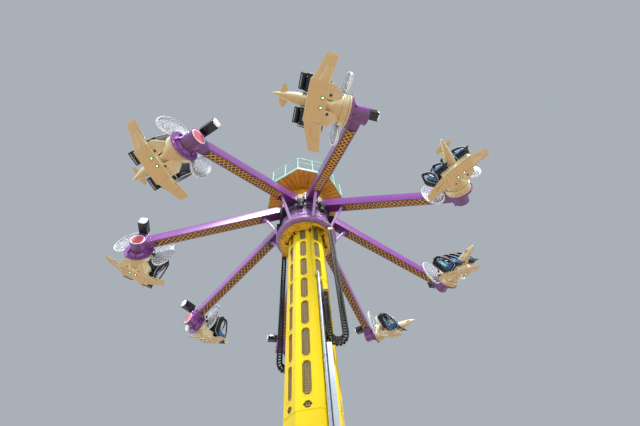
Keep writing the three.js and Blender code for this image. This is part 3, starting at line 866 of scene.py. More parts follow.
@dataclass
class Tower:
    """The fixed octagonal tower, its windows, its rack and its foot.

    Attributes:
        apothem: from the axis to a face.
        turned: degrees between a face and -Y.
        plain_top: where the windowed part starts.
        joint: level of the joint between the windowed segments.
        top: end of the windowed part.
        pitch: from window to window.
        first: level of the first bar between windows.
        window: width and height of a window.
        corner: radius of a window's corners.
        tooth: pitch of the rack's rungs.
        flange: radius and thickness of the foot flange.
        rods: places for anchor rods round the flange, of which every third stays free.
        lip: width of the lips round the windows.
    """

    apothem: float = 678.0
    turned: float = -4.0
    plain_top: float = 4131.0
    joint: float = 7952.0
    top: float = 12507.0
    pitch: float = 900.0
    first: float = 4352.0
    window: Pair = (226.0, 786.0)
    corner: float = 70.0
    tooth: float = 54.0
    flange: Pair = (1150.0, 50.0)
    rods: int = 24
    lip: float = 16.0

    def build(self) -> None:
        """Dresses the tower's nodes and adds its trim."""
        segments = [f"tower_{part}_segment" for part in ("foot", "lower", "upper")]
        for node in ("foot_flange", "tower_head", *segments):
            dress(node, YELLOW_PAINT)
        dress("rack_cage", RACK_GREASE)
        around = turn("Z", self.turned)
        for name, mesh, slot in (
            ("window_trims", self.window_trims(), Slot.TOWER),
            ("rack_rungs", self.rungs(), Slot.STEEL),
            ("seam_bands", self.seams(), Slot.TOWER),
            ("anchor_bolts", self.anchors(), Slot.STEEL),
        ):
            install(mesh, "tower_" + name, "tower", around)

    def windows(self) -> list[float]:
        """Middle level of each row of windows."""
        rows = []
        level = self.first + self.pitch / 2
        while level < self.top:
            if abs(level - self.joint) > self.window[1] / 2:
                rows.append(level)
            level += self.pitch
        return rows

    def window_trims(self) -> bpy.types.Mesh:
        """Rolled lips round the windows."""
        shape = Shape()
        inner = rounded(*self.window, self.corner, 5)
        wide, high = (size + 2 * self.lip for size in self.window)
        outer = rounded(wide, high, self.corner + self.lip, 5)
        for level in self.windows():
            for face in range(COUNT):
                place = turn("Z", STEP * face) @ shift(self.apothem, 0, level)
                shape.band(outer, inner, 0.2, 9.0, 0, place @ facing(0, 0, 0))
        return shape.mesh("tower_window_trims", [YELLOW_PAINT])

    def rungs(self) -> bpy.types.Mesh:
        """Toothed strips on the bars of the rack, seen through the windows."""
        shape = Shape()
        low, high = self.plain_top + 60, self.top - 60
        steps = int((high - low) / self.tooth)
        for face in range(COUNT):
            place = turn("Z", STEP * face)
            for k in range(steps):
                z = low + k * self.tooth
                shape.block((622, -104, z), (642, 104, z + 27), 4, 0, place)
            for y in (-96, -34, 34, 96):
                shape.block((636, y - 7, low), (648, y + 7, high), 3, 0, place)
        return shape.mesh("tower_rack_rungs", [RACK_TEETH])

    def seams(self) -> bpy.types.Mesh:
        """Bands where the segments meet."""
        shape = Shape()
        for level in (self.plain_top - 24, self.joint - 24, self.top - 44):
            reach = self.apothem / math.cos(math.radians(STEP / 2))
            outer, inner = (
                [polar(reach + out, STEP / 2 + STEP * k) for k in range(COUNT)] for out in (10, 0.5)
            )
            shape.band(outer, inner, level, level + 40)
        return shape.mesh("tower_seam_bands", [YELLOW_PAINT])

    def anchors(self) -> bpy.types.Mesh:
        """Anchor rods and nuts through the foot flange."""
        shape = Shape()
        radius, thick = self.flange
        for k in range(self.rods):
            if k % 3 == 0:
                continue
            x, y = polar(radius - 90, 360 / self.rods * k)
            place = shift(x, y, thick)
            shape.bolt(place, 56)
            shape.turned([(15, 0), (15, 62), (12, 66)], 12, 1, False, place)
        return shape.mesh("tower_anchor_bolts", [ZINC_STEEL])


@dataclass
class Platform:
    """The service platform on the tower's head.

    Attributes:
        radius: to the deck's corners.
        level: underside of the deck plate.
        rail: height of the guard rail over that.
        tube: radius of the guard rail's tubes.
        bolts: radii of the bolts under the deck.
        seams: azimuths of the plate seams in a bay, from its middle.
    """

    radius: float = 1892.0
    level: float = 13355.0
    rail: float = 1158.0
    tube: float = 21.0
    bolts: Triple = (1130.0, 1420.0, 1690.0)
    seams: tuple[float, ...] = (-22.5, -14.0, -6.0, 6.0, 14.0)

    def corners(self, radius: float) -> list[Pair]:
        """The deck's corners at a radius."""
        return [polar(radius, -90 + STEP * k) for k in range(COUNT)]

    def build(self) -> None:
        """Dresses the deck, and replaces the plain rail by tubes and boards."""
        dress("platform_deck", OCHRE_PLATE)
        rail = self.guard_rail()
        install(rail, "guard_rail", "tower", Matrix(), ("platform_railing",))
        install(self.joists(), "deck_joists", "tower", Matrix())

    def guard_rail(self) -> bpy.types.Mesh:
        """Posts, rails and toe board of the guard rail."""
        shape = Shape()
        reach = self.radius - 22
        top = self.level + self.rail - self.tube
        board = self.corners(self.radius)
        shape.band(board, self.corners(self.radius - 34), self.level - 10, self.level + 120)
        corners = self.corners(reach)
        middles = [
            ((a[0] + b[0]) / 2, (a[1] + b[1]) / 2)
            for a, b in zip(corners, corners[1:] + corners[:1])
        ]
        for x, y in corners + middles:
            shape.tube([(x, y, self.level + 60), (x, y, top)], self.tube, 12)
            foot = rounded(90, 66, 12, 2)
            angle = math.degrees(math.atan2(y, x))
            spot = shift(x * 0.985, y * 0.985, self.level + 118) @ turn("Z", angle + 90)
            shape.slab(foot, 0, 10, 2, 0, spot)
        for z, size in ((top, self.tube + 3), (self.level + 0.61 * self.rail, self.tube - 3)):
            bends = []
            for k, (x, y) in enumerate(corners):
                for other in (corners[k - 1], corners[(k + 1) % COUNT]):
                    step = Vector((other[0] - x, other[1] - y)).normalized() * 55
                    bends.append((x + step.x, y + step.y, z))
            shape.tube(bends, size, 12, 0, True)
        return shape.mesh("guard_rail", [MINT_ENAMEL])

    def joists(self) -> bpy.types.Mesh:
        """Joist ring, plate seams and bolts under the deck."""
        shape = Shape()
        outer, inner = self.corners(1010), self.corners(960)
        shape.band(outer, inner, self.level - 62, self.level - 0.5)
        for k in range(COUNT):
            for radius in self.bolts:
                for side in (-1, 1):
                    place = turn("Z", FIRST_ARM + STEP * k) @ shift(radius, side * 60, self.level)
                    shape.bolt(place @ turn("X", 180), 26)
            for angle in self.seams:
                reach = 1850 if abs(angle) > 20 else 1730
                seam = turn("Z", FIRST_ARM + STEP * k + angle)
                shape.block((960, -7, self.level - 8), (reach, 7, self.level - 0.5), 2, 2, seam)
        return shape.mesh("deck_joists", [OCHRE_PLATE, ZINC_STEEL, RACK_GREASE])


@dataclass
class Conduit:
    """The cable conduit on the tower's front, a corrugated metal hose with its glands.

    Attributes:
        radius: over its ribs.
        spot: radius and azimuth of the riser.
        mouth: radius and azimuth of the end of its neck.
        low: level where the riser starts, on the flange.
        top: level where it ends.
        pitch: from the middle of a rib to its edge.
        clamps: levels of the brackets that hold the riser to the tower.
    """

    radius: float = 52.0
    spot: Pair = (782.0, -56.0)
    mouth: Pair = (790.0, -62.0)
    low: float = 52.0
    top: float = 7950.0
    pitch: float = 18.0
    clamps: tuple[float, ...] = (700, 2200, 3700, 5252, 7052, 7925)

    def build(self) -> None:
        """Replaces the plain conduit by the ribbed one."""
        shape = Shape()
        x, y = polar(*self.spot)
        hx, hy = polar(*self.mouth)
        r = self.radius
        count = int((self.top - 60) / self.pitch)
        riser = [(x, y, self.low + self.pitch * k) for k in range(count)]
        over = ((x + hx) / 2, (y + hy) / 2, 8072)
        bend = flowing([(x, y, self.top - 20), (x, y, 8010), over, (hx, hy, 8024)], 6)
        shape.tube(riser, self.radius - 6, 14, rib=5.0)
        shape.tube(bend, self.radius - 5, 14, rib=4.0)
        wall = turn("Z", -49)
        for z in self.clamps:
            shape.block((679, -125, z - 25), (776, -65, z + 25), 5, 1, wall)
            gland = [(r - 8, z - 24), (r + 3, z - 22), (r + 3, z + 22), (r - 8, z + 24)]
            shape.turned(gland, 24, 1, True, shift(x, y, 0))
        mesh = shape.mesh("ribbed_conduit", [ZINC_SHEET, ZINC_STEEL])
        install(mesh, "ribbed_conduit", "tower", Matrix(), ("cable_conduit",))


@dataclass
class CableCarrier:
    """A chain of hollow links that leads cables from the tower to the carriage.

    Attributes:
        spot: radius and azimuth of its fixed strand.
        turned: azimuth of its plane.
        loop: radius of its bend.
        level: where the strands meet the bend.
        anchor: top of the fixed strand.
        top: top of the moving strand.
        section: thickness and width.
        links: links in the half turn of the bend.
        lanes: across the chain, where its cables lie.
        travel: how far the carriage moves.
    """

    spot: Pair = (850.0, -44.5)
    turned: float = 7.5
    loop: float = 220.0
    level: float = 5850.0
    anchor: float = 7200.0
    top: float = 10180.0
    section: Pair = (170.0, 200.0)
    links: int = 8
    lanes: tuple[float, ...] = (-60.0, -24.0, 20.0, 58.0)
    travel: float = 7500.0

    def build(self) -> None:
        """Builds the front and the rear carrier."""
        for side, back in (("front", 0.0), ("rear", 180.0)):
            dress("carrier_trough_" + side, ZINC_SHEET)
            dress("carrier_anchor_" + side, MOTOR_ENAMEL)
            x, y = polar(*self.spot)
            place = turn("Z", back) @ shift(x, y, 0) @ turn("Z", self.turned)
            self.strand(side, "fixed", place, 0.0, self.anchor)
            self.strand(side, "moving", place, 2 * self.loop, self.top)
            node = "carrier_bend_" + side
            install(self.bend(), "links_bend_" + side, "carrier_bends", place, (node,))

    @property
    def pitch(self) -> float:
        """Length of a link."""
        return math.pi * self.loop / self.links

    def link(self, shape: Shape, place: Matrix, length: float) -> None:
        """Adds a link: two side plates and two cross bars.

        Args:
            shape: what it is added to.
            place: the link's middle, with Z along the chain.
            length: its pitch.
        """
        thick, wide = self.section
        plate = rounded(thick, length - 3, 20, 3)
        gap = rounded(90, length * 0.54, 20, 3)
        for side in (-1, 1):
            y = side * (wide / 2 - 9) - 8
            shape.band(plate, gap, 0, 16, 0, place @ upright(0, y, 0))
        for x in (-thick / 2 + 9, thick / 2 - 9):
            low = (x - 8, -wide / 2 + 12, -length * 0.16)
            shape.block(low, (x + 8, wide / 2 - 12, length * 0.16), 4, 0, place)

    def strand(self, side: str, kind: str, place: Matrix, x: float, top: float) -> None:
        """Builds one strand: the fixed one is baked in place, the moving one rides on the bends'
        body with a mesh of its own.

        Args:
            side: front or rear.
            kind: fixed or moving.
            place: the carrier's frame.
            x: the strand's distance from the fixed one.
            top: its upper end.
        """
        shape = Shape()
        foot = self.level + self.pitch
        count = max(4, round((top - foot) / self.pitch))
        pitch = (top - foot) / count
        for k in range(count):
            self.link(shape, shift(x, 0, foot + (k + 0.5) * pitch), pitch)
        for k, lane in enumerate(self.lanes):
            spot = x + (-54 if k % 2 else 54)
            shape.tube([(spot, lane, foot + 2), (spot, lane, top - 10)], 14, 10, 1)
        node = f"carrier_{kind}_strand_{side}"
        mesh = shape.mesh(f"links_{kind}_{side}", [LINK_NYLON, RUBBER])
        piece = appear(f"links_{kind}_{side}", mesh)
        piece.matrix_world = metres(place)
        if kind == "moving":
            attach(piece, "carrier_bends")
            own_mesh(piece)
        else:
            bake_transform(piece)
        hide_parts(node)
        LOG.info("%s: %d links", piece.name, count)

    def bend(self) -> bpy.types.Mesh:
        """The half turn of links, a straight one at each end, and the cables in them."""
        shape = Shape()
        for k in range(self.links):
            angle = 180 * (k + 0.5) / self.links
            middle = shift(self.loop, 0, self.level) @ turn("Y", -angle) @ shift(-self.loop, 0, 0)
            self.link(shape, middle, self.pitch)
        for x in (0, 2 * self.loop):
            self.link(shape, shift(x, 0, self.level + self.pitch / 2), self.pitch)
        for k, lane in enumerate(self.lanes):
            reach = self.loop - (-54 if k % 2 else 54)
            end = self.level + self.pitch - 2
            arc = [
                (self.loop - reach * math.cos(a), lane, self.level - reach * math.sin(a))
                for a in [math.pi * i / 16 for i in range(17)]
            ]
            arc = [(arc[0][0], lane, end), *arc, (arc[-1][0], lane, end)]
            shape.tube(arc, 14, 10, 1)
        return shape.mesh("links_bend", [LINK_NYLON, RUBBER])


@dataclass
class Carriage:
    """The climbing carriage: its sleeve, rollers and fixings.

    Attributes:
        rim: radius of its rims.
        low: its underside.
        top: its upper side.
        turned: azimuth of the first tower corner.
        roller: radius and width of a guide roller.
        stand: from the sleeve's ends to the axes of the rollers.
        bolts: places for bolts round the lower rim.
        slot: azimuth of a carrier's slot, with another one behind the tower.
        clear: degrees on each side of a slot where there are no bolts.
    """

    rim: float = 1100.0
    low: float = 10260.0
    top: float = 12830.0
    turned: float = 18.5
    roller: Pair = (62.0, 70.0)
    stand: float = 86.0
    bolts: int = 40
    slot: float = -50.0
    clear: float = 20.0

    def build(self) -> None:
        """Dresses the sleeve and adds the rollers and bolts."""
        # The carriage's darker orange yellow is partly painted shade from the hub above it.
        dress("carriage", GREASED_SHADED_PAINT)
        shape = Shape()
        radius, wide = self.roller
        wheel = [(16, -wide / 2), (radius - 6, -wide / 2), (radius, -wide / 2 + 8)]
        wheel += [(radius, wide / 2 - 8), (radius - 6, wide / 2), (16, wide / 2)]
        for k in range(COUNT):
            corner = turn("Z", self.turned + STEP * k)
            for z in (self.low - self.stand, self.top + self.stand):
                hub = corner @ shift(812, 0, z) @ turn("X", 90)
                shape.turned(wheel, 28, 1, True, hub)
                shape.turned([(15, -70), (15, 70)], 14, 2, False, hub)
                for side in (-58, 46):
                    up = -1 if z > self.low else 1
                    edge = z + up * self.stand
                    low = (775, side, min(edge, z - 24))
                    shape.block(low, (850, side + 12, max(edge, z + 24)), 5, 0, corner)
        for k in range(self.bolts):
            angle = 360 / self.bolts * k
            beside = (angle - self.slot) % 180
            if min(beside, 180 - beside) < self.clear:
                continue
            x, y = polar(self.rim - 45, angle)
            shape.bolt(shift(x, y, self.low) @ turn("X", 180), 30)
        mesh = shape.mesh("carriage_rollers", [GREASED_SHADED_PAINT, RUBBER, ZINC_STEEL])
        install(mesh, "carriage_rollers", "carriage", Matrix())


@dataclass
class Hub:
    """The turning hub, its gussets and its drives.

    Attributes:
        bore: its inner radius.
        radius: its outer radius.
        low: its underside.
        top: its upper side.
        ring: radius of the lower ring that the braces stand on.
        web: level where the gussets start.
        loops: level, sag, radius and thickness of the hoses in a bay.
    """

    bore: float = 1000.0
    radius: float = 1056.0
    low: float = 10440.0
    top: float = 12760.0
    ring: float = 1255.0
    web: float = 10900.0
    loops: tuple[tuple[float, float, float, float], ...] = (
        (11390, 95, 1120, 17),
        (11330, 150, 1150, 13),
        (11470, 330, 1100, 15),
        (11860, 180, 1110, 20),
        (11930, 90, 1090, 14),
    )

    def build(self) -> None:
        """Replaces the plain hub and drives."""
        install(self.sleeve(), "hub_sleeve", "rotor", Matrix(), ("hub",))
        motor = self.drive()
        for k in range(COUNT):
            nodes = ("hub_drives",) if k == 0 else ()
            place = turn("Z", FIRST_ARM + STEP / 2 + STEP * k)
            install(motor, f"drive_motor_{k + 1}", "rotor", place, nodes)
        install(self.hoses(), "drive_hoses", "rotor", Matrix())

    def sleeve(self) -> bpy.types.Mesh:
        """The hub's sleeve, its rings, gussets and bolts."""
        shape = Shape()
        r, low = self.radius, self.low
        collar = self.top - 400
        profile = [(self.bore, low), (self.ring - 8, low), (self.ring, low + 8)]
        profile += [(self.ring, low + 112), (self.ring - 8, low + 120), (r + 22, low + 120)]
        profile += [(r, low + 142), (r, 10838), (r + 10, 10846), (r + 10, 10899), (r, 10907)]
        profile += [(r, 11250), (r, collar), (self.bore, collar)]
        shape.turned(profile, 96, 0, True)
        # The crown takes the greased yellow, whose darker orange is partly painted shade.
        crown = [(self.bore, collar + 1), (r - 2, collar + 1), (r - 2, self.top - 60)]
        crown += [(r + 2, self.top - 56), (r + 2, self.top), (self.bore, self.top)]
        shape.turned(crown, 96, 2, True)
        middle = (0, 190)
        outline = rays([(-150, 0), (150, 0), (20, 520), (-20, 520)], middle)
        hole = rays([(x, y + 190) for x, y in oval(120, 140, 40)], middle)
        for k in range(COUNT):
            bay = turn("Z", FIRST_ARM + STEP / 2 + STEP * k)
            shape.band(outline, hole, 0, 60, 3, bay @ facing(r - 30, 0, self.web))
            for angle in (-16, -8, 0, 8, 16):
                x, y = polar(self.ring - 40, FIRST_ARM + STEP / 2 + STEP * k + angle)
                shape.bolt(shift(x, y, low) @ turn("X", 180), 34)
                shape.bolt(shift(x, y, low + 120), 34)
            for side in (-1, 1):
                post = turn("Z", FIRST_ARM + STEP * k + side * 17.5)
                shape.block((r - 12, -14, collar - 560), (r + 26, 14, self.top - 70), 6, 2, post)
        return shape.mesh("hub_sleeve", [DUSTY_LILAC, ZINC_STEEL, GREASED_SHADED_PAINT, LILAC_PAINT])

    def drive(self) -> bpy.types.Mesh:
        """A gear motor with its finned case and terminal box."""
        shape = Shape()
        shape.block((self.radius + 4, -115, 11480), (1300, 115, 11760), 16, 0)
        for z in (11500, 11560, 11620, 11680, 11735):
            shape.block((self.radius + 30, -121, z), (1290, 121, z + 12), 3, 0)
        axis = shift(1200, 0, 0)
        case = [(60, 11204), (84, 11208), (84, 11470), (95, 11476), (95, 11500)]
        shape.turned(case, 40, 0, False, axis)
        for k in range(20):
            fin = axis @ turn("Z", 18 * k)
            shape.block((80, -2.5, 11250), (94, 2.5, 11460), 1.5, 0, fin)
        shape.turned([(88, 11202), (94, 11212), (94, 11246), (86, 11250)], 40, 1, False, axis)
        shape.block((1225, -48, 11400), (1296, 48, 11478), 8, 0)
        for side in (-1, 1):
            spot = shift(1300, side * 80, 11700) @ turn("Y", 90)
            shape.bolt(spot @ shift(0, 0, -6), 20)
        shape.block((self.radius + 4, -150, 11790), (1190, 60, 12240), 14, 2)
        shape.block((1188, -128, 11812), (1197, 38, 12218), 3, 2)
        shape.block((self.radius + 4, 82, 11830), (1150, 190, 12120), 12, 0)
        return shape.mesh("drive_motor", [MOTOR_ENAMEL, RUBBER, BEIGE_COVER])

    def hoses(self) -> bpy.types.Mesh:
        """The mounting ring of the drives and the hoses that sag from motor to motor."""
        shape = Shape()
        r = self.radius
        mount = [(r + 1, 11500), (r + 28, 11500), (r + 28, 11600), (r + 1, 11600)]
        shape.turned(mount, 96, 0, True)
        for k in range(COUNT):
            start = FIRST_ARM + STEP / 2 + STEP * k
            for drop, sag, reach, thick in self.loops:
                points = []
                for i, share in enumerate((0.0, 0.7, 1.0, 0.7, 0.0)):
                    x, y = polar(reach + 14 * share, start + 5 + 35 * i / 4)
                    points.append((x, y, drop - sag * share))
                shape.tube(flowing(points, 5), thick, 10, 1)
        return shape.mesh("drive_hoses", [MOTOR_ENAMEL, RUBBER])


@dataclass
class Arm:
    """A drooping arm, in the frame of its tip: X out, Y across, Z up.

    Attributes:
        tip: radius and level of the roll axis.
        slope: rise of the arm towards the hub.
        root: radius where it starts.
        ends: width and height at the root, and at the tip.
        housing: radius of the roll bearing's housing.
        flange: where the housing's flange starts, behind the arm.
        ornament: radii between which the gilt bands run.
        zigzags: turns of each gilt band.
        ledge: level of the hub's ring, on which the brace stands.
    """

    tip: Pair = (5797.0, 8995.0)
    slope: float = (12900.0 - 8995.0) / 5797.0
    root: float = 1062.0
    ends: tuple[Pair, Pair] = ((450.0, 410.0), (300.0, 290.0))
    housing: float = 245.0
    flange: float = -306.0
    ornament: Pair = (1980.0, 5260.0)
    zigzags: int = 22
    ledge: float = 10560.4

    def place(self, index: int) -> Matrix:
        """Frame of the arm with that index, from 0."""
        azimuth = FIRST_ARM + STEP * index
        x, y = polar(self.tip[0], azimuth)
        return shift(x, y, self.tip[1]) @ turn("Z", azimuth)

    def build(self) -> None:
        """Builds the eight arms."""
        parts = {
            "beam": (self.beam(), Slot.ARM),
            "bearing": (self.bearing(), Slot.ARM),
            "panel_box": (self.panel_box(), Slot.ARM),
        }
        for k in range(COUNT):
            for name, (mesh, slot) in parts.items():
                nodes = (f"arm_{k + 1}",) if name == "beam" else ()
                install(mesh, f"arm_{name}_{k + 1}", "rotor", self.place(k), nodes)

    def size(self, radius: float) -> Pair:
        """Width and height of the beam at a radius."""
        share = (radius - self.root) / (self.tip[0] - 120 - self.root)
        share = min(1.0, max(0.0, share))
        (w0, h0), (w1, h1) = self.ends
        return w0 + (w1 - w0) * share, h0 + (h1 - h0) * share

    def beam(self) -> bpy.types.Mesh:
        """The welded box beam, its root plate, brace and gilt bands."""
        shape = Shape()
        lean = math.sqrt(1 + self.slope**2)
        rings = []
        for radius in [self.root + 2, 1400, 1800, 2600, 3400, 4200, 5000, self.tip[0] - 120]:
            wide, high = self.size(radius)
            x = radius - self.tip[0]
            outline = rounded(wide, high * lean, 26, 4)
            rings.append([(x, y, z - x * self.slope) for y, z in outline])
        shape.skin(rings, 0)
        for up in (-1, 1):
            for side in (-1, 1):
                edge = []
                for radius in (self.root + 60, 3000, self.tip[0] - 330):
                    wide, high = self.size(radius)
                    x = radius - self.tip[0]
                    lift = up * (high / 2 - 9) * lean - x * self.slope
                    edge.append((x, side * (wide / 2 - 9), lift))
                shape.tube(edge, 12, 8, 0)
        x = self.root - self.tip[0]
        z = -x * self.slope
        shape.block((x + 1, -275, z - 300), (x + 40, 275, z + 300), 10, 0)
        for side in (-1, 1):
            for k in range(5):
                spot = shift(x + 40, side * 250, z - 250 + 125 * k) @ turn("Y", 90)
                shape.bolt(spot, 36)
        ring = self.ledge - self.tip[1]
        shape.block((-4690, -85, ring), (-4552, 85, ring + 44), 8, 0)
        low, high = (1190 - self.tip[0], 0, ring + 30), (1820 - self.tip[0], 0, 11470 - self.tip[1])
        shape.tube([low, high], 58, 24, 4)
        foot = aim(low, high)
        shape.turned([(70, 0), (70, 46), (60, 60)], 24, 4, False, foot)
        self.gilding(shape, lean)
        coats = [PURPLE_PAINT, ZINC_STEEL, GILT_PAINT, PLUM_SHADE_PLATE, LILAC_PAINT]
        return shape.mesh("arm_beam", coats)

    def gilding(self, shape: Shape, lean: float) -> None:
        """Lays two crossing zigzag bands between gilt lines on a plum ground under the beam, a
        plate of painted shade.

        Args:
            shape: the beam.
            lean: the beam's height in a vertical cut over its true height.
        """
        start, end = self.ornament
        rings = []
        for radius in (start - 70, end + 70):
            edge, below = self.under(radius, 26, lean)
            low, high = below.z - 3, below.z + 4
            corners = ((-edge, low), (edge, low), (edge, high), (-edge, high))
            rings.append([(below.x, y, z) for y, z in corners])
        # The plum plate under the beam is painted shade.
        shape.skin(rings, 3)
        step = (end - start) / self.zigzags
        down = Vector((0, 0, -1))
        for phase in (-1, 1):
            for k in range(self.zigzags):
                points = []
                for i in (k, k + 1):
                    edge, below = self.under(start + i * step, 66, lean)
                    swing = phase * (1 if i % 2 else -1) * edge
                    points.append(below + Vector((0, swing, -3)))
                self.strip(shape, points[0], points[1], 16.0, down)
            ends = []
            for radius in (start - 40, end + 40):
                edge, below = self.under(radius, 40, lean)
                ends.append(below + Vector((0, phase * edge, -3)))
            self.strip(shape, ends[0], ends[1], 6.0, down)

    def under(self, radius: float, margin: float, lean: float) -> tuple[float, Vector]:
        """Half width within a margin, and the middle, of the beam's underside.

        Args:
            radius: from the ride's axis.
            margin: what is left at each edge.
            lean: the beam's height in a vertical cut over its true height.

        Returns:
            The half width and the middle.
        """
        wide, high = self.size(radius)
        x = radius - self.tip[0]
        return wide / 2 - margin, Vector((x, 0, -high / 2 * lean - x * self.slope))

    def strip(self, shape: Shape, a: Vector, b: Vector, half: float, out: Vector) -> None:
        """Adds a thin raised strip from a to b.

        Args:
            shape: what it is added to.
            a: its start, on the surface.
            b: its end, on the surface.
            half: half its width.
            out: direction off the surface.
        """
        way = (b - a).normalized()
        side = way.cross(out).normalized() * half
        lift = side.cross(way).normalized() * 3.0
        lift = lift if lift.dot(out) > 0 else -lift
        ends = []
        for point in (a - way * half * 0.6, b + way * half * 0.6):
            inside, outside = point - lift, point + lift
            corners = (inside - side, inside + side, outside + side, outside - side)
            ends.append([tuple(p) for p in corners])
        shape.skin(ends, 2)

    def bearing(self) -> bpy.types.Mesh:
        """The roll bearing's housing, its flange, bolts and blank end cap."""
        shape = Shape()
        r, y0 = self.housing, self.flange
        across = turn("X", -90)
        profile = [(60, y0 + 0.5), (424, y0 + 0.5), (430, y0 + 6), (430, y0 + 39), (424, y0 + 45)]
        profile += [(r + 60, y0 + 45), (r - 2, y0 + 92), (r - 10, y0 + 104), (r - 10, 96)]
        profile += [(r - 4, 100), (r - 4, 118), (r - 10, 122), (r - 10, 200), (r, 206), (r, 226)]
        profile += [(r - 6, 232), (r - 26, 232), (r - 30, 224), (60, 224)]
        shape.turned(profile, 72, 0, False, across)
        cap = [(r - 24, 222), (r - 28, 229), (r - 60, 230), (r - 64, 226)]
        shape.turned(cap, 72, 2, False, across)
        disc = [(r - 62, 225), (r - 66, 228), (60, 231), (6, 231)]
        shape.turned(disc, 72, 3, False, across)
        for k in range(18):
            spot = across @ turn("Z", 20 * k + 10)
            shape.bolt(spot @ shift(392, 0, y0 + 45), 30)
            if k % 3 == 0:
                shape.bolt(spot @ shift(178, 0, 229), 16)
        for k in range(6):
            rib = across @ turn("Z", 60 * k + 30)
            web = [(r - 16, y0 + 44), (r + 96, y0 + 44), (r - 16, y0 + 230)]
            shape.slab(web, 0, 18, 2, 0, rib @ upright(0, -9, 0))
        return shape.mesh("arm_bearing", [PURPLE_PAINT, ZINC_STEEL, WHITE_PIPING, CORAL_ENAMEL])

    def panel_box(self) -> bpy.types.Mesh:
        """The box over the bearing, with blank smoked panels on its long sides."""
        shape = Shape()
        shape.block((-150, -60, 120), (85, 215, 332), 14, 0)
        x0, x1, y0, y1, z0, z1 = -150, 85, 150, 700, 320, 585
        shape.block((x0 + 6, y0 + 6, z0 + 6), (x1 - 6, y1 - 14, z1 - 6), 12, 1)
        lid = rounded(x1 - x0, z1 - z0, 52, 5)
        shape.slab(lid, y1 - 52, y1, 22, 3, upright((x0 + x1) / 2, 0, (z0 + z1) / 2))
        shape.block((x0, y0, z0), (x1, y0 + 16, z1), 6, 1)
        for x in (x0, x1 - 14):
            for z in (z0, z1 - 14):
                shape.block((x, y0 + 8, z), (x + 14, y1 - 30, z + 14), 4, 1)
        for x, out in ((x0 + 6, -1), (x1 - 6, 1)):
            low, high = sorted((x, x + out * 3))
            shape.block((low, y0 + 60, z0 + 36), (high, y1 - 60, z1 - 36), 1.2, 2)
        for z, out in ((z0 + 6, -1), (z1 - 6, 1)):
            low, high = sorted((z, z + out * 3))
            shape.block((x0 + 36, y0 + 60, low), (x1 - 36, y1 - 60, high), 1.0, 2)
        coats = [PURPLE_PAINT, BLACK_MOULDING, SMOKED_PANEL, WHITE_PIPING]
        return shape.mesh("arm_panel_box", coats)


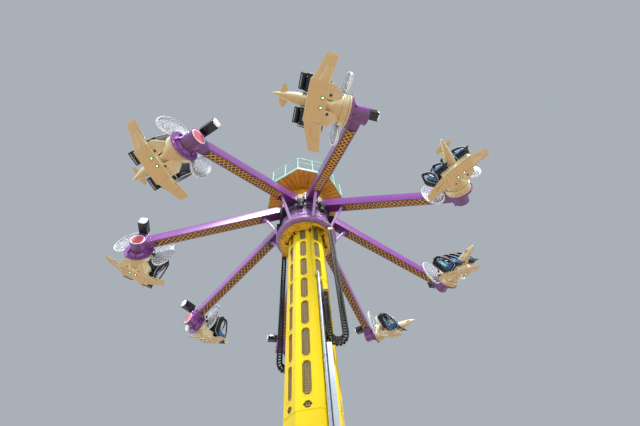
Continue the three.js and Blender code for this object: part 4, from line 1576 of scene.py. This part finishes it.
@dataclass
class Airframe:
    """The cream body of a plane: X along the wings, Y towards the arm, Z up.

    Attributes:
        drum: radius of the drum head against the arm.
        flange: where the drum head starts.
        stations: place behind the arm, half width, half height and middle height.
        box: half width, front, rear, underside and top of the wing box.
        wing: across, rear, front, middle height and thickness at each station of a wing.
        belly: the same of the swelling under its root.
        tail: the same of a tailplane.
        lamps: across and behind, of each lamp under the box.
    """

    drum: float = 395.0
    flange: float = -306.0
    stations: tuple[tuple[float, float, float, float], ...] = (
        (346, 345, 345, 0),
        (420, 338, 338, -4),
        (560, 322, 324, -14),
        (700, 292, 298, -26),
        (745, 262, 284, -32),
        (795, 152, 250, -50),
        (1000, 150, 226, -54),
        (1430, 149, 188, -60),
        (1700, 142, 148, -41),
        (1900, 104, 114, -28),
        (2080, 62, 78, -16),
        (2190, 36, 44, -11),
        (2236, 24, 30, -10),
        (2249, 8, 10, -10),
    )
    box: tuple[float, float, float, float, float] = (503.0, 934.0, 1426.0, -367.0, -195.0)
    wing: tuple[tuple[float, ...], ...] = (
        (490, -1405, -938, -317, 84),
        (640, -1350, -919, -305, 66),
        (900, -1248, -888, -286, 46),
        (1080, -1176, -866, -274, 34),
        (1150, -1142, -860, -270, 28),
        (1168, -1118, -878, -269, 14),
    )
    belly: tuple[tuple[float, ...], ...] = (
        (500, -1225, -950, -356, 70),
        (680, -1170, -950, -340, 58),
        (860, -1118, -944, -326, 30),
    )
    tail: tuple[tuple[float, ...], ...] = (
        (30, -2085, -1820, -10, 40),
        (160, -2050, -1880, -4, 30),
        (266, -2030, -1920, -2, 18),
    )
    lamps: tuple[Pair, ...] = ((115, 1056), (-115, 1056))

    def build(self) -> bpy.types.Mesh:
        """Makes the body that all planes share."""
        shape = Shape()
        self.fuselage(shape)
        self.wing_box(shape)
        for side in (-1, 1):
            self.foot_box(shape, side)
            self.wings(shape, side)
        self.lights(shape)
        coats = [CREAM_GELCOAT, ZINC_STEEL, BLACK_MOULDING, GREEN_LENS, SHADE_TAN_GELCOAT, LAMP_CORE]
        return shape.mesh("plane_body", coats, 38)

    def fuselage(self, shape: Shape) -> None:
        """Adds the drum head and the spine that tapers from it."""
        across = turn("X", 90)
        head = [(200, -self.flange), (self.drum - 7, -self.flange), (self.drum, -self.flange + 8)]
        head += [(self.drum, -self.flange + 37), (self.drum - 7, -self.flange + 45)]
        head += [(352, -self.flange + 45), (340, -self.flange + 60)]
        shape.turned(head, 72, 0, False, across)
        rings = []
        for behind, wide, high, lift in self.stations:
            rings.append([(x, -behind, z + lift) for x, z in oval(2 * wide, 2 * high, 40)])
        shape.skin(rings, 0)
        for behind, wide in ((468, 333), (600, 316)):
            hoop = [(wide - 4, behind), (wide + 3, behind + 3), (wide + 3, behind + 15)]
            shape.turned([*hoop, (wide - 4, behind + 18)], 56, 0, True, across @ shift(0, 8, 0))
        for k in range(16):
            spot = across @ turn("Z", 22.5 * k) @ shift(368, 0, -self.flange + 45)
            shape.bolt(spot, 22)

    def wing_box(self, shape: Shape) -> None:
        """Adds the box under the seats, its belly panel, rivets and edge beads."""
        half, front, rear, low, top = self.box
        shape.block((-half, -rear, low), (half, -front, top), 26, 0)
        # The belly panel takes the tan gelcoat: painted shade under the box.
        shape.block((34 - half, -rear + 34, low - 5), (half - 34, -front - 34, low + 6), 5, 4)
        for x in range(-440, 441, 80):
            for y in (-rear + 60, -front - 60):
                spot = shift(x, y, low - 4) @ turn("X", 180)
                shape.turned([(6, 0), (6, 1), (4, 3)], 8, 1, False, spot)
        for side in (-1, 1):
            x = side * (half - 70)
            shape.tube([(x, -rear + 70, low - 5), (x, -front - 70, low - 5)], 5, 8, 0)

    def foot_box(self, shape: Shape, side: int) -> None:
        """Adds a foot box with its round port, and the web from the drum to it."""
        x0, x1 = sorted((side * 140, side * 500))
        shape.block((x0, -950, -350), (x1, -785, -80), 24, 0)
        size = 36
        port = shift(side * 225, -868, -349) @ turn("X", 180)
        shape.turned([(size, 0), (size + 9, 0), (size + 9, 5), (size, 7)], 28, 0, True, port)
        shape.turned([(size + 1, -2), (size + 1, 2), (1, 2)], 28, 2, False, port)
        inner, outer = [], []
        for x, y, z in ((150, -546, -230), (290, -546, -230), (290, -546, -40), (150, -546, -40)):
            inner.append((side * x, y, z))
        for x, y, z in ((150, -800, -345), (495, -800, -345), (495, -800, -90), (150, -800, -90)):
            outer.append((side * x, y, z))
        middle = [tuple((Vector(a) * 0.45 + Vector(b) * 0.55)) for a, b in zip(inner, outer)]
        shape.skin([inner, middle, outer], 0)

    def wings(self, shape: Shape, side: int) -> None:
        """Adds a wing, the swelling under its root, its raised panels and a tailplane."""
        for stations in (self.wing, self.belly, self.tail):
            shape.skin([self.section(side * x, *rest) for x, *rest in stations], 0)
        for face in (-1, 1):
            sheet = []
            for x, rear, front, middle, thick in self.wing[1:3]:
                edges = []
                for along in (0.3, 0.51, 0.72):
                    lift = thick / 2 * self.crown(along)
                    edges.append((rear + along * (front - rear), lift))
                ring = [(x * side, y, middle + face * (lift - 4)) for y, lift in edges]
                ring += [(x * side, y, middle + face * (lift + 3)) for y, lift in reversed(edges)]
                sheet.append(ring)
            shape.skin(sheet, 0)

    def section(
        self, x: float, rear: float, front: float, middle: float, thick: float
    ) -> list[Triple]:
        """Wing section at x, round at the front and thin at the rear.

        Args:
            x: place along the wing.
            rear: its thin end.
            front: its round end.
            middle: its middle height.
            thick: its thickness.

        Returns:
            The points round the section.
        """
        points = []
        for k in range(24):
            angle = 2 * math.pi * k / 24
            along = (1 + math.cos(angle)) / 2
            lift = math.copysign(self.crown(along), math.sin(angle)) * thick / 2
            points.append((x, rear + (front - rear) * along, middle + lift))
        return points

    @staticmethod
    def crown(along: float) -> float:
        """Share of a wing's half thickness at a share of its chord from the rear."""
        return 2 * math.sqrt(max(0.0, along * (1 - along))) * (0.42 + 0.58 * math.sqrt(along))

    def lights(self, shape: Shape) -> None:
        """Adds the round lamps under the box."""
        low = self.box[3]
        for x, behind in self.lamps:
            spot = shift(x, -behind, low - 4) @ turn("X", 180)
            shape.turned([(32, 0), (46, 0), (46, 8), (40, 12), (32, 12)], 28, 2, True, spot)
            shape.turned([(33, 2), (33, 8), (21, 15), (20, 13), (20, 2)], 28, 3, True, spot)
            shape.turned([(20, 2), (20, 15), (12, 18), (1, 19)], 28, 5, False, spot)


@dataclass
class Seat:
    """One of a plane's two bucket seats, which face away from the arm.

    Attributes:
        sides: nearest and farthest side from the plane's middle.
        wall: thickness of the shell's sides.
        side_outline: a side of the shell, as place behind the arm and height.
        side_hole: the opening in that side.
        seat_pad: the seat cushion from the side.
        voxel: mesh size of the cushions' simulation.
        swell: most that a cushion's skin moves.
        pressure: force that stuffs a cushion.
        frames: length of that simulation.
    """

    sides: Pair = (157.0, 630.0)
    wall: float = 30.0
    side_outline: tuple[Pair, ...] = (
        (873, -18),
        (990, -88),
        (1160, -193),
        (1427, -193),
        (1500, -164),
        (1540, -78),
        (1462, 190),
        (1285, 500),
        (1172, 604),
        (820, 590),
        (759, 525),
    )
    side_hole: tuple[Pair, ...] = (
        (1075, -62),
        (1190, -138),
        (1420, -142),
        (1478, -70),
        (1412, 160),
        (1258, 420),
        (1150, 500),
        (1030, 500),
        (1010, 380),
    )
    seat_pad: tuple[Pair, ...] = (
        (1020, -50),
        (1170, -150),
        (1410, -150),
        (1474, -120),
        (1486, 20),
        (1466, 66),
        (1040, 30),
    )
    voxel: float = 13.0
    swell: float = 16.0
    pressure: float = 4.0
    frames: int = 20

    @staticmethod
    def profile(x: float) -> Matrix:
        """Frame at x where X runs behind the arm, Y up and Z against the wings' X."""
        return Matrix(((0, 0, -1, x), (-1, 0, 0, 0), (0, 1, 0, 0), (0, 0, 0, 1)))

    def shell(self) -> bpy.types.Mesh:
        """The black bucket shell with its piping and foot loop, for the seat at positive X."""
        shape = Shape()
        x0, x1 = self.sides
        middle = (1200, 180)
        outline = rays(softened(self.side_outline, 46), middle, 96)
        hole = rays(softened(self.side_hole, 50), middle, 96)
        for x in (x0 + self.wall, x1):
            frame = self.profile(x)
            shape.band(outline, hole, 0, self.wall, 0, frame)
            for line, size in ((outline, 7), (hole, 4)):
                edge = [frame @ Vector((u, v, self.wall / 2)) for u, v in line]
                shape.tube(edge, size, 8, 1, True)
        wide = x1 - x0 - 2 * self.wall + 16
        inside = self.profile(x1 - self.wall + 8)
        back = [(873, -18), (1003, -25), (890, 530), (878, 596), (820, 588), (762, 525)]
        shape.slab(softened(back, 24), 0, wide, 6, 0, inside)
        pan = [(990, -86), (1160, -192), (1428, -192), (1496, -162), (1478, -142), (1420, -166)]
        pan += [(1166, -166), (1005, -62)]
        shape.slab(softened(pan, 8), 0, wide, 4, 0, inside)
        for k in range(4):
            x = x0 + 90 + 98 * k
            rib = [(x, -859, 60), (x, -822, 300), (x, -790, 500)]
            shape.tube(rib, 10, 8, 0)
        foot = [(x0 + 60, -1480, -160), (x0 + 60, -1560, -205), (x0 + 64, -1640, -238)]
        foot += [(x0 + 90, -1652, -245), (x1 - 90, -1652, -245), (x1 - 64, -1640, -238)]
        foot += [(x1 - 60, -1560, -205), (x1 - 60, -1480, -160)]
        shape.tube(flowing(foot, 4), 15, 10, 0)
        calf = [(1500, -120), (1530, -84), (1606, -196), (1628, -232), (1606, -240), (1560, -205)]
        shape.slab(softened(calf, 8), 44, wide - 44, 6, 0, inside)
        return shape.mesh("seat_shell", [BLACK_MOULDING, WHITE_PIPING])

    def pads(self) -> list[tuple[str, bpy.types.Mesh]]:
        """The cushions, for the seat at positive X."""
        middle = sum(self.sides) / 2
        made = []
        for name, outline, half, finish in (
            ("seat_cushion", self.seat_pad, 194, BLUE_VINYL),
            ("back_cushion", [(1012, 60), (1080, 74), (968, 512), (902, 500)], 150, TEAL_VINYL),
            ("calf_cushion", [(1486, 0), (1502, -128), (1536, -116), (1524, 20)], 176, BLUE_VINYL),
            ("head_cushion", [(900, 522), (972, 522), (962, 600), (886, 594)], 120, BLUE_VINYL),
        ):
            shape = Shape()
            steps = 8
            rings = []
            for k in range(steps + 1):
                x = middle - half + 2 * half * k / steps
                edge = 10 if k in (0, steps) else 0
                ring = inset(softened(outline, 20), edge)
                rings.append([(x, -u, v) for u, v in ring])
            shape.skin(rings)
            made.append((name, self.inflated(shape.mesh(name, [finish]), name)))
        return made

    def inflated(self, mesh: bpy.types.Mesh, name: str) -> bpy.types.Mesh:
        """Swells a cushion by a short cloth simulation under pressure.

        Args:
            mesh: the cushion before it is stuffed.
            name: its name.

        Returns:
            The stuffed cushion.
        """
        work = appear("work_" + name, mesh)
        scene = bpy.context.scene
        remesh = work.modifiers.new("grid", "REMESH")
        remesh.mode = "VOXEL"
        remesh.voxel_size = self.voxel * MM
        rest = self.taken(work, name + "_rest")
        rest.materials.clear()
        rest.materials.append(mesh.materials[0])
        stuffed = rest
        work.modifiers.clear()
        work.data = rest
        cloth = work.modifiers.new("stuffing", "CLOTH")
        cloth.settings.use_pressure = True
        cloth.settings.uniform_pressure_force = self.pressure
        cloth.settings.effector_weights.gravity = 0.0
        cloth.point_cache.frame_start = 1
        cloth.point_cache.frame_end = self.frames
        for step in range(1, self.frames + 1):
            scene.frame_set(step)
        stuffed = self.taken(work, name + "_stuffed")
        for vertex, old in zip(stuffed.vertices, rest.vertices):
            move = vertex.co - old.co
            if move.length > self.swell * MM:
                vertex.co = old.co + move.normalized() * self.swell * MM
        scene.frame_set(1)
        bpy.data.objects.remove(work)
        stuffed.polygons.foreach_set("use_smooth", [True] * len(stuffed.polygons))
        return stuffed

    @staticmethod
    def taken(work: bpy.types.Object, name: str) -> bpy.types.Mesh:
        """Mesh of an object with its modifiers applied."""
        graph = bpy.context.evaluated_depsgraph_get()
        made = bpy.data.meshes.new_from_object(work.evaluated_get(graph))
        made.name = name
        return made

    def restraint(self) -> bpy.types.Mesh:
        """Padded shoulder bars, their cross grip and the lap bar."""
        shape = Shape()
        x0, x1 = self.sides
        route = [(850, 540), (930, 650), (1100, 600), (1230, 380), (1240, -10)]
        for x in (x0 + 75, x1 - 75):
            line = flowing([(x, -u, v) for u, v in route], 7)
            shape.tube(line, 17, 12, 1)
            shape.tube(line[5:24], 28, 14, 0)
            for side in (-1, 1):
                piping = [p + Vector((side * 24, 0, 12)) for p in line[5:24]]
                shape.tube(piping, 6, 8, 2)
        grip = [(x0 + 75, -1236, 250), (sum(self.sides) / 2, -1262, 235), (x1 - 75, -1236, 250)]
        shape.tube(flowing(grip, 6), 14, 12, 2)
        for x in (x0 + 130, x1 - 130):
            shape.tube([(x, -1250, 240), (x, -1262, 330)], 15, 12, 0)
        lap = [(x0 + 45, -1240, 60), (sum(self.sides) / 2, -1258, 72), (x1 - 45, -1240, 60)]
        shape.tube(flowing(lap, 6), 24, 12, 0)
        return shape.mesh("seat_restraint", [BLACK_MOULDING, ZINC_STEEL, WHITE_PIPING])


@dataclass
class Paddle:
    """The pair of oval hoops beside the drum, in the plane's frame.

    Attributes:
        size: length and width of an oval.
        depth: depth of the collar and brackets along the roll axis.
        rim: depth of its clear rim.
        behind: its middle's place behind the arm.
        reach: from the roll axis to its middle.
        rise: degrees of that line over the wing.
        lean: degrees of the oval's length towards the seats' middle.
        twist: degrees by which the pair is turned.
        battens: bars across each half of a hoop.
    """

    size: Pair = (1114.0, 592.0)
    depth: float = 110.0
    rim: float = 62.0
    behind: float = 435.0
    reach: float = 728.0
    rise: float = 29.0
    lean: float = 10.8
    twist: float = -4.0
    battens: int = 5

    def build(self) -> bpy.types.Mesh:
        """Makes the pair that all planes share."""
        shape = Shape()
        across = Matrix(((1, 0, 0, 0), (0, 0, -1, -self.behind), (0, 1, 0, 0), (0, 0, 0, 1)))
        for side in (-1, 1):
            angle = (self.rise if side > 0 else 180 - self.rise) + self.twist
            x, z = polar(self.reach, angle)
            place = across @ shift(x, z, 0) @ turn("Z", side * self.lean + self.twist)
            self.hoop(shape, place)
            for rise in (self.rise - 8, self.rise + 27):
                angle = (rise if side > 0 else 180 - rise) + self.twist
                arm = across @ turn("Z", angle)
                shape.block((345, -32, -46), (458, 32, 40), 8, 2, arm)
                shape.block((400, -44, -30), (470, 44, 8), 8, 2, arm)
                shape.tube([(452, -50, 20), (452, 50, 20)], 20, 14, 2, False, arm)
        near, far = -(self.behind - 352), self.depth / 2
        collar = [(354, -near), (388, -near - 4), (392, -near - 12), (392, -far + 12), (388, -far)]
        shape.turned([*collar, (354, -far)], 64, 3, True, across)
        coats = [HOOP_POWDER, HAZED_ACRYLIC, BLACK_MOULDING, CREAM_GELCOAT]
        return shape.mesh("paddle_pair", coats)

    def hoop(self, shape: Shape, place: Matrix) -> None:
        """Adds one hoop with its clear disc, edges and battens.

        Args:
            shape: what it is added to.
            place: the oval's middle, with its length along Y and the seats towards Z.
        """
        long, wide = self.size
        half = self.rim / 2
        outer = oval(wide - 8, long - 8, 64)
        inner = oval(wide - 20, long - 20, 64)
        shape.band(outer, inner, -half + 6, half - 4, 1, place)
        for depth, size in ((-half + 8, 8), (half - 9, 13)):
            edge = oval(wide - 2 * size, long - 2 * size, 64)
            shape.tube([(x, y, depth) for x, y in edge], size, 10, 0, True, place)
        sheet = oval(wide - 22, long - 22, 64)
        shape.slab(sheet, half - 12, half - 6, 1, 1, place)
        for k in range(-self.battens, self.battens + 1):
            y = k * long / (2.5 * self.battens)
            reach = (wide / 2 - 12) * math.sqrt(max(0.03, 1 - (2 * y / long) ** 2))
            path = [(-reach, y, half - 13), (0, y + 18, half - 14), (reach, y, half - 13)]
            shape.tube(flowing(path, 5), 4, 8, 0, False, place)


@dataclass
class Planes:
    """The eight planes that roll at the arm tips.

    Attributes:
        roll: degrees by which each plane leans at rest, its outer wing up.
        arm: the arm that gives each tip's frame.
    """

    roll: float = 20.5
    arm: Arm = field(default_factory=Arm)

    def build(self) -> None:
        """Builds the shared meshes and puts them at each tip."""
        seat = Seat()
        body, pair = Airframe().build(), Paddle().build()
        shell, pads, restraint = seat.shell(), seat.pads(), seat.restraint()
        for k in range(COUNT):
            carrier = f"plane_{k + 1}"
            place = self.arm.place(k) @ turn("Y", -self.roll)
            install(body, f"plane_body_{k + 1}", carrier, place, (f"airframe_{k + 1}",))
            nodes = (f"propeller_{k + 1}",)
            install(pair, f"paddle_pair_{k + 1}", carrier, place, nodes)
            for name, flip in (("outer", 0.0), ("inner", -sum(seat.sides))):
                spot = place @ shift(flip, 0, 0)
                nodes = (f"seats_{k + 1}",) if name == "outer" else ()
                tag = f"{name}_{k + 1}"
                install(shell, "seat_shell_" + tag, carrier, spot, nodes)
                install(restraint, "seat_restraint_" + tag, carrier, spot)
                for pad, mesh in pads:
                    piece = install(mesh, f"{pad}_{tag}", carrier, spot)


@dataclass
class Studio:
    """The camera, the floor and the lights.

    Attributes:
        eye: the camera's place, in metres.
        right: its right.
        ahead: its direction of view.
        lens: focal length of the camera.
        sensor: width of its sensor.
        surround: strength of the light from all round.
    """

    eye: Triple = (1.026, -7.793, 1.600)
    right: Triple = (0.9884, 0.1354, -0.0687)
    ahead: Triple = (-0.0248, 0.5904, 0.8068)
    lens: float = 15.879
    sensor: float = 36.0
    surround: float = 0.55

    def build(self) -> None:
        """Builds the studio."""
        self.camera()
        self.floor()
        self.lights()

    def camera(self) -> None:
        """Sets the camera at the photograph's viewing angle."""
        data = bpy.data.cameras.new("viewpoint")
        data.lens = self.lens
        data.sensor_width = self.sensor
        data.sensor_fit = "HORIZONTAL"
        data.clip_end = 400.0
        eye = appear("viewpoint", data)
        ahead = Vector(self.ahead).normalized()
        right = Vector(self.right)
        right = (right - ahead * right.dot(ahead)).normalized()
        up = right.cross(ahead)
        columns = Matrix((right, up, -ahead)).transposed().to_4x4()
        eye.matrix_world = Matrix.Translation(self.eye) @ columns
        bpy.context.scene.camera = eye

    def floor(self) -> None:
        """Lays a wide pale floor."""
        shape = Shape()
        shape.turned([(60000, -120), (60000, -60), (59900, -0.5)], 96, 0, False)
        piece = appear("studio_floor", shape.mesh("studio_floor", [PALE_CONCRETE]))

    def lights(self) -> None:
        """Hangs one wide key light, a fill, and an even pale surround."""
        for name, energy, spread, way in (
            ("key", 4.9, 10.0, (0.3, -0.66, 0.86)),
            ("fill", 0.6, 60.0, (-0.9, -0.2, 0.6)),
        ):
            data = bpy.data.lights.new(name, "SUN")
            data.energy = energy
            data.angle = math.radians(spread)
            lamp = appear(name, data)
            lamp.rotation_mode = "QUATERNION"
            lamp.rotation_quaternion = Vector(way).to_track_quat("Z", "Y")
        world = bpy.data.worlds.new("surround")
        world.use_nodes = True
        back = world.node_tree.nodes["Background"]
        back.inputs["Color"].default_value = linear("DDE6F0")
        back.inputs["Strength"].default_value = self.surround
        bpy.context.scene.world = world
        bpy.context.scene.view_settings.view_transform = "Standard"


def main() -> None:
    """Builds every sub-assembly round the frame."""
    logging.basicConfig(level=logging.INFO, format="%(name)s %(message)s")
    for kind in (Studio, Tower, Platform, Conduit, CableCarrier, Carriage, Hub, Arm, Planes):
        kind().build()
        LOG.info("%s done", kind.__name__)
    bpy.context.view_layer.update()


if __name__ == "__main__":
    main()
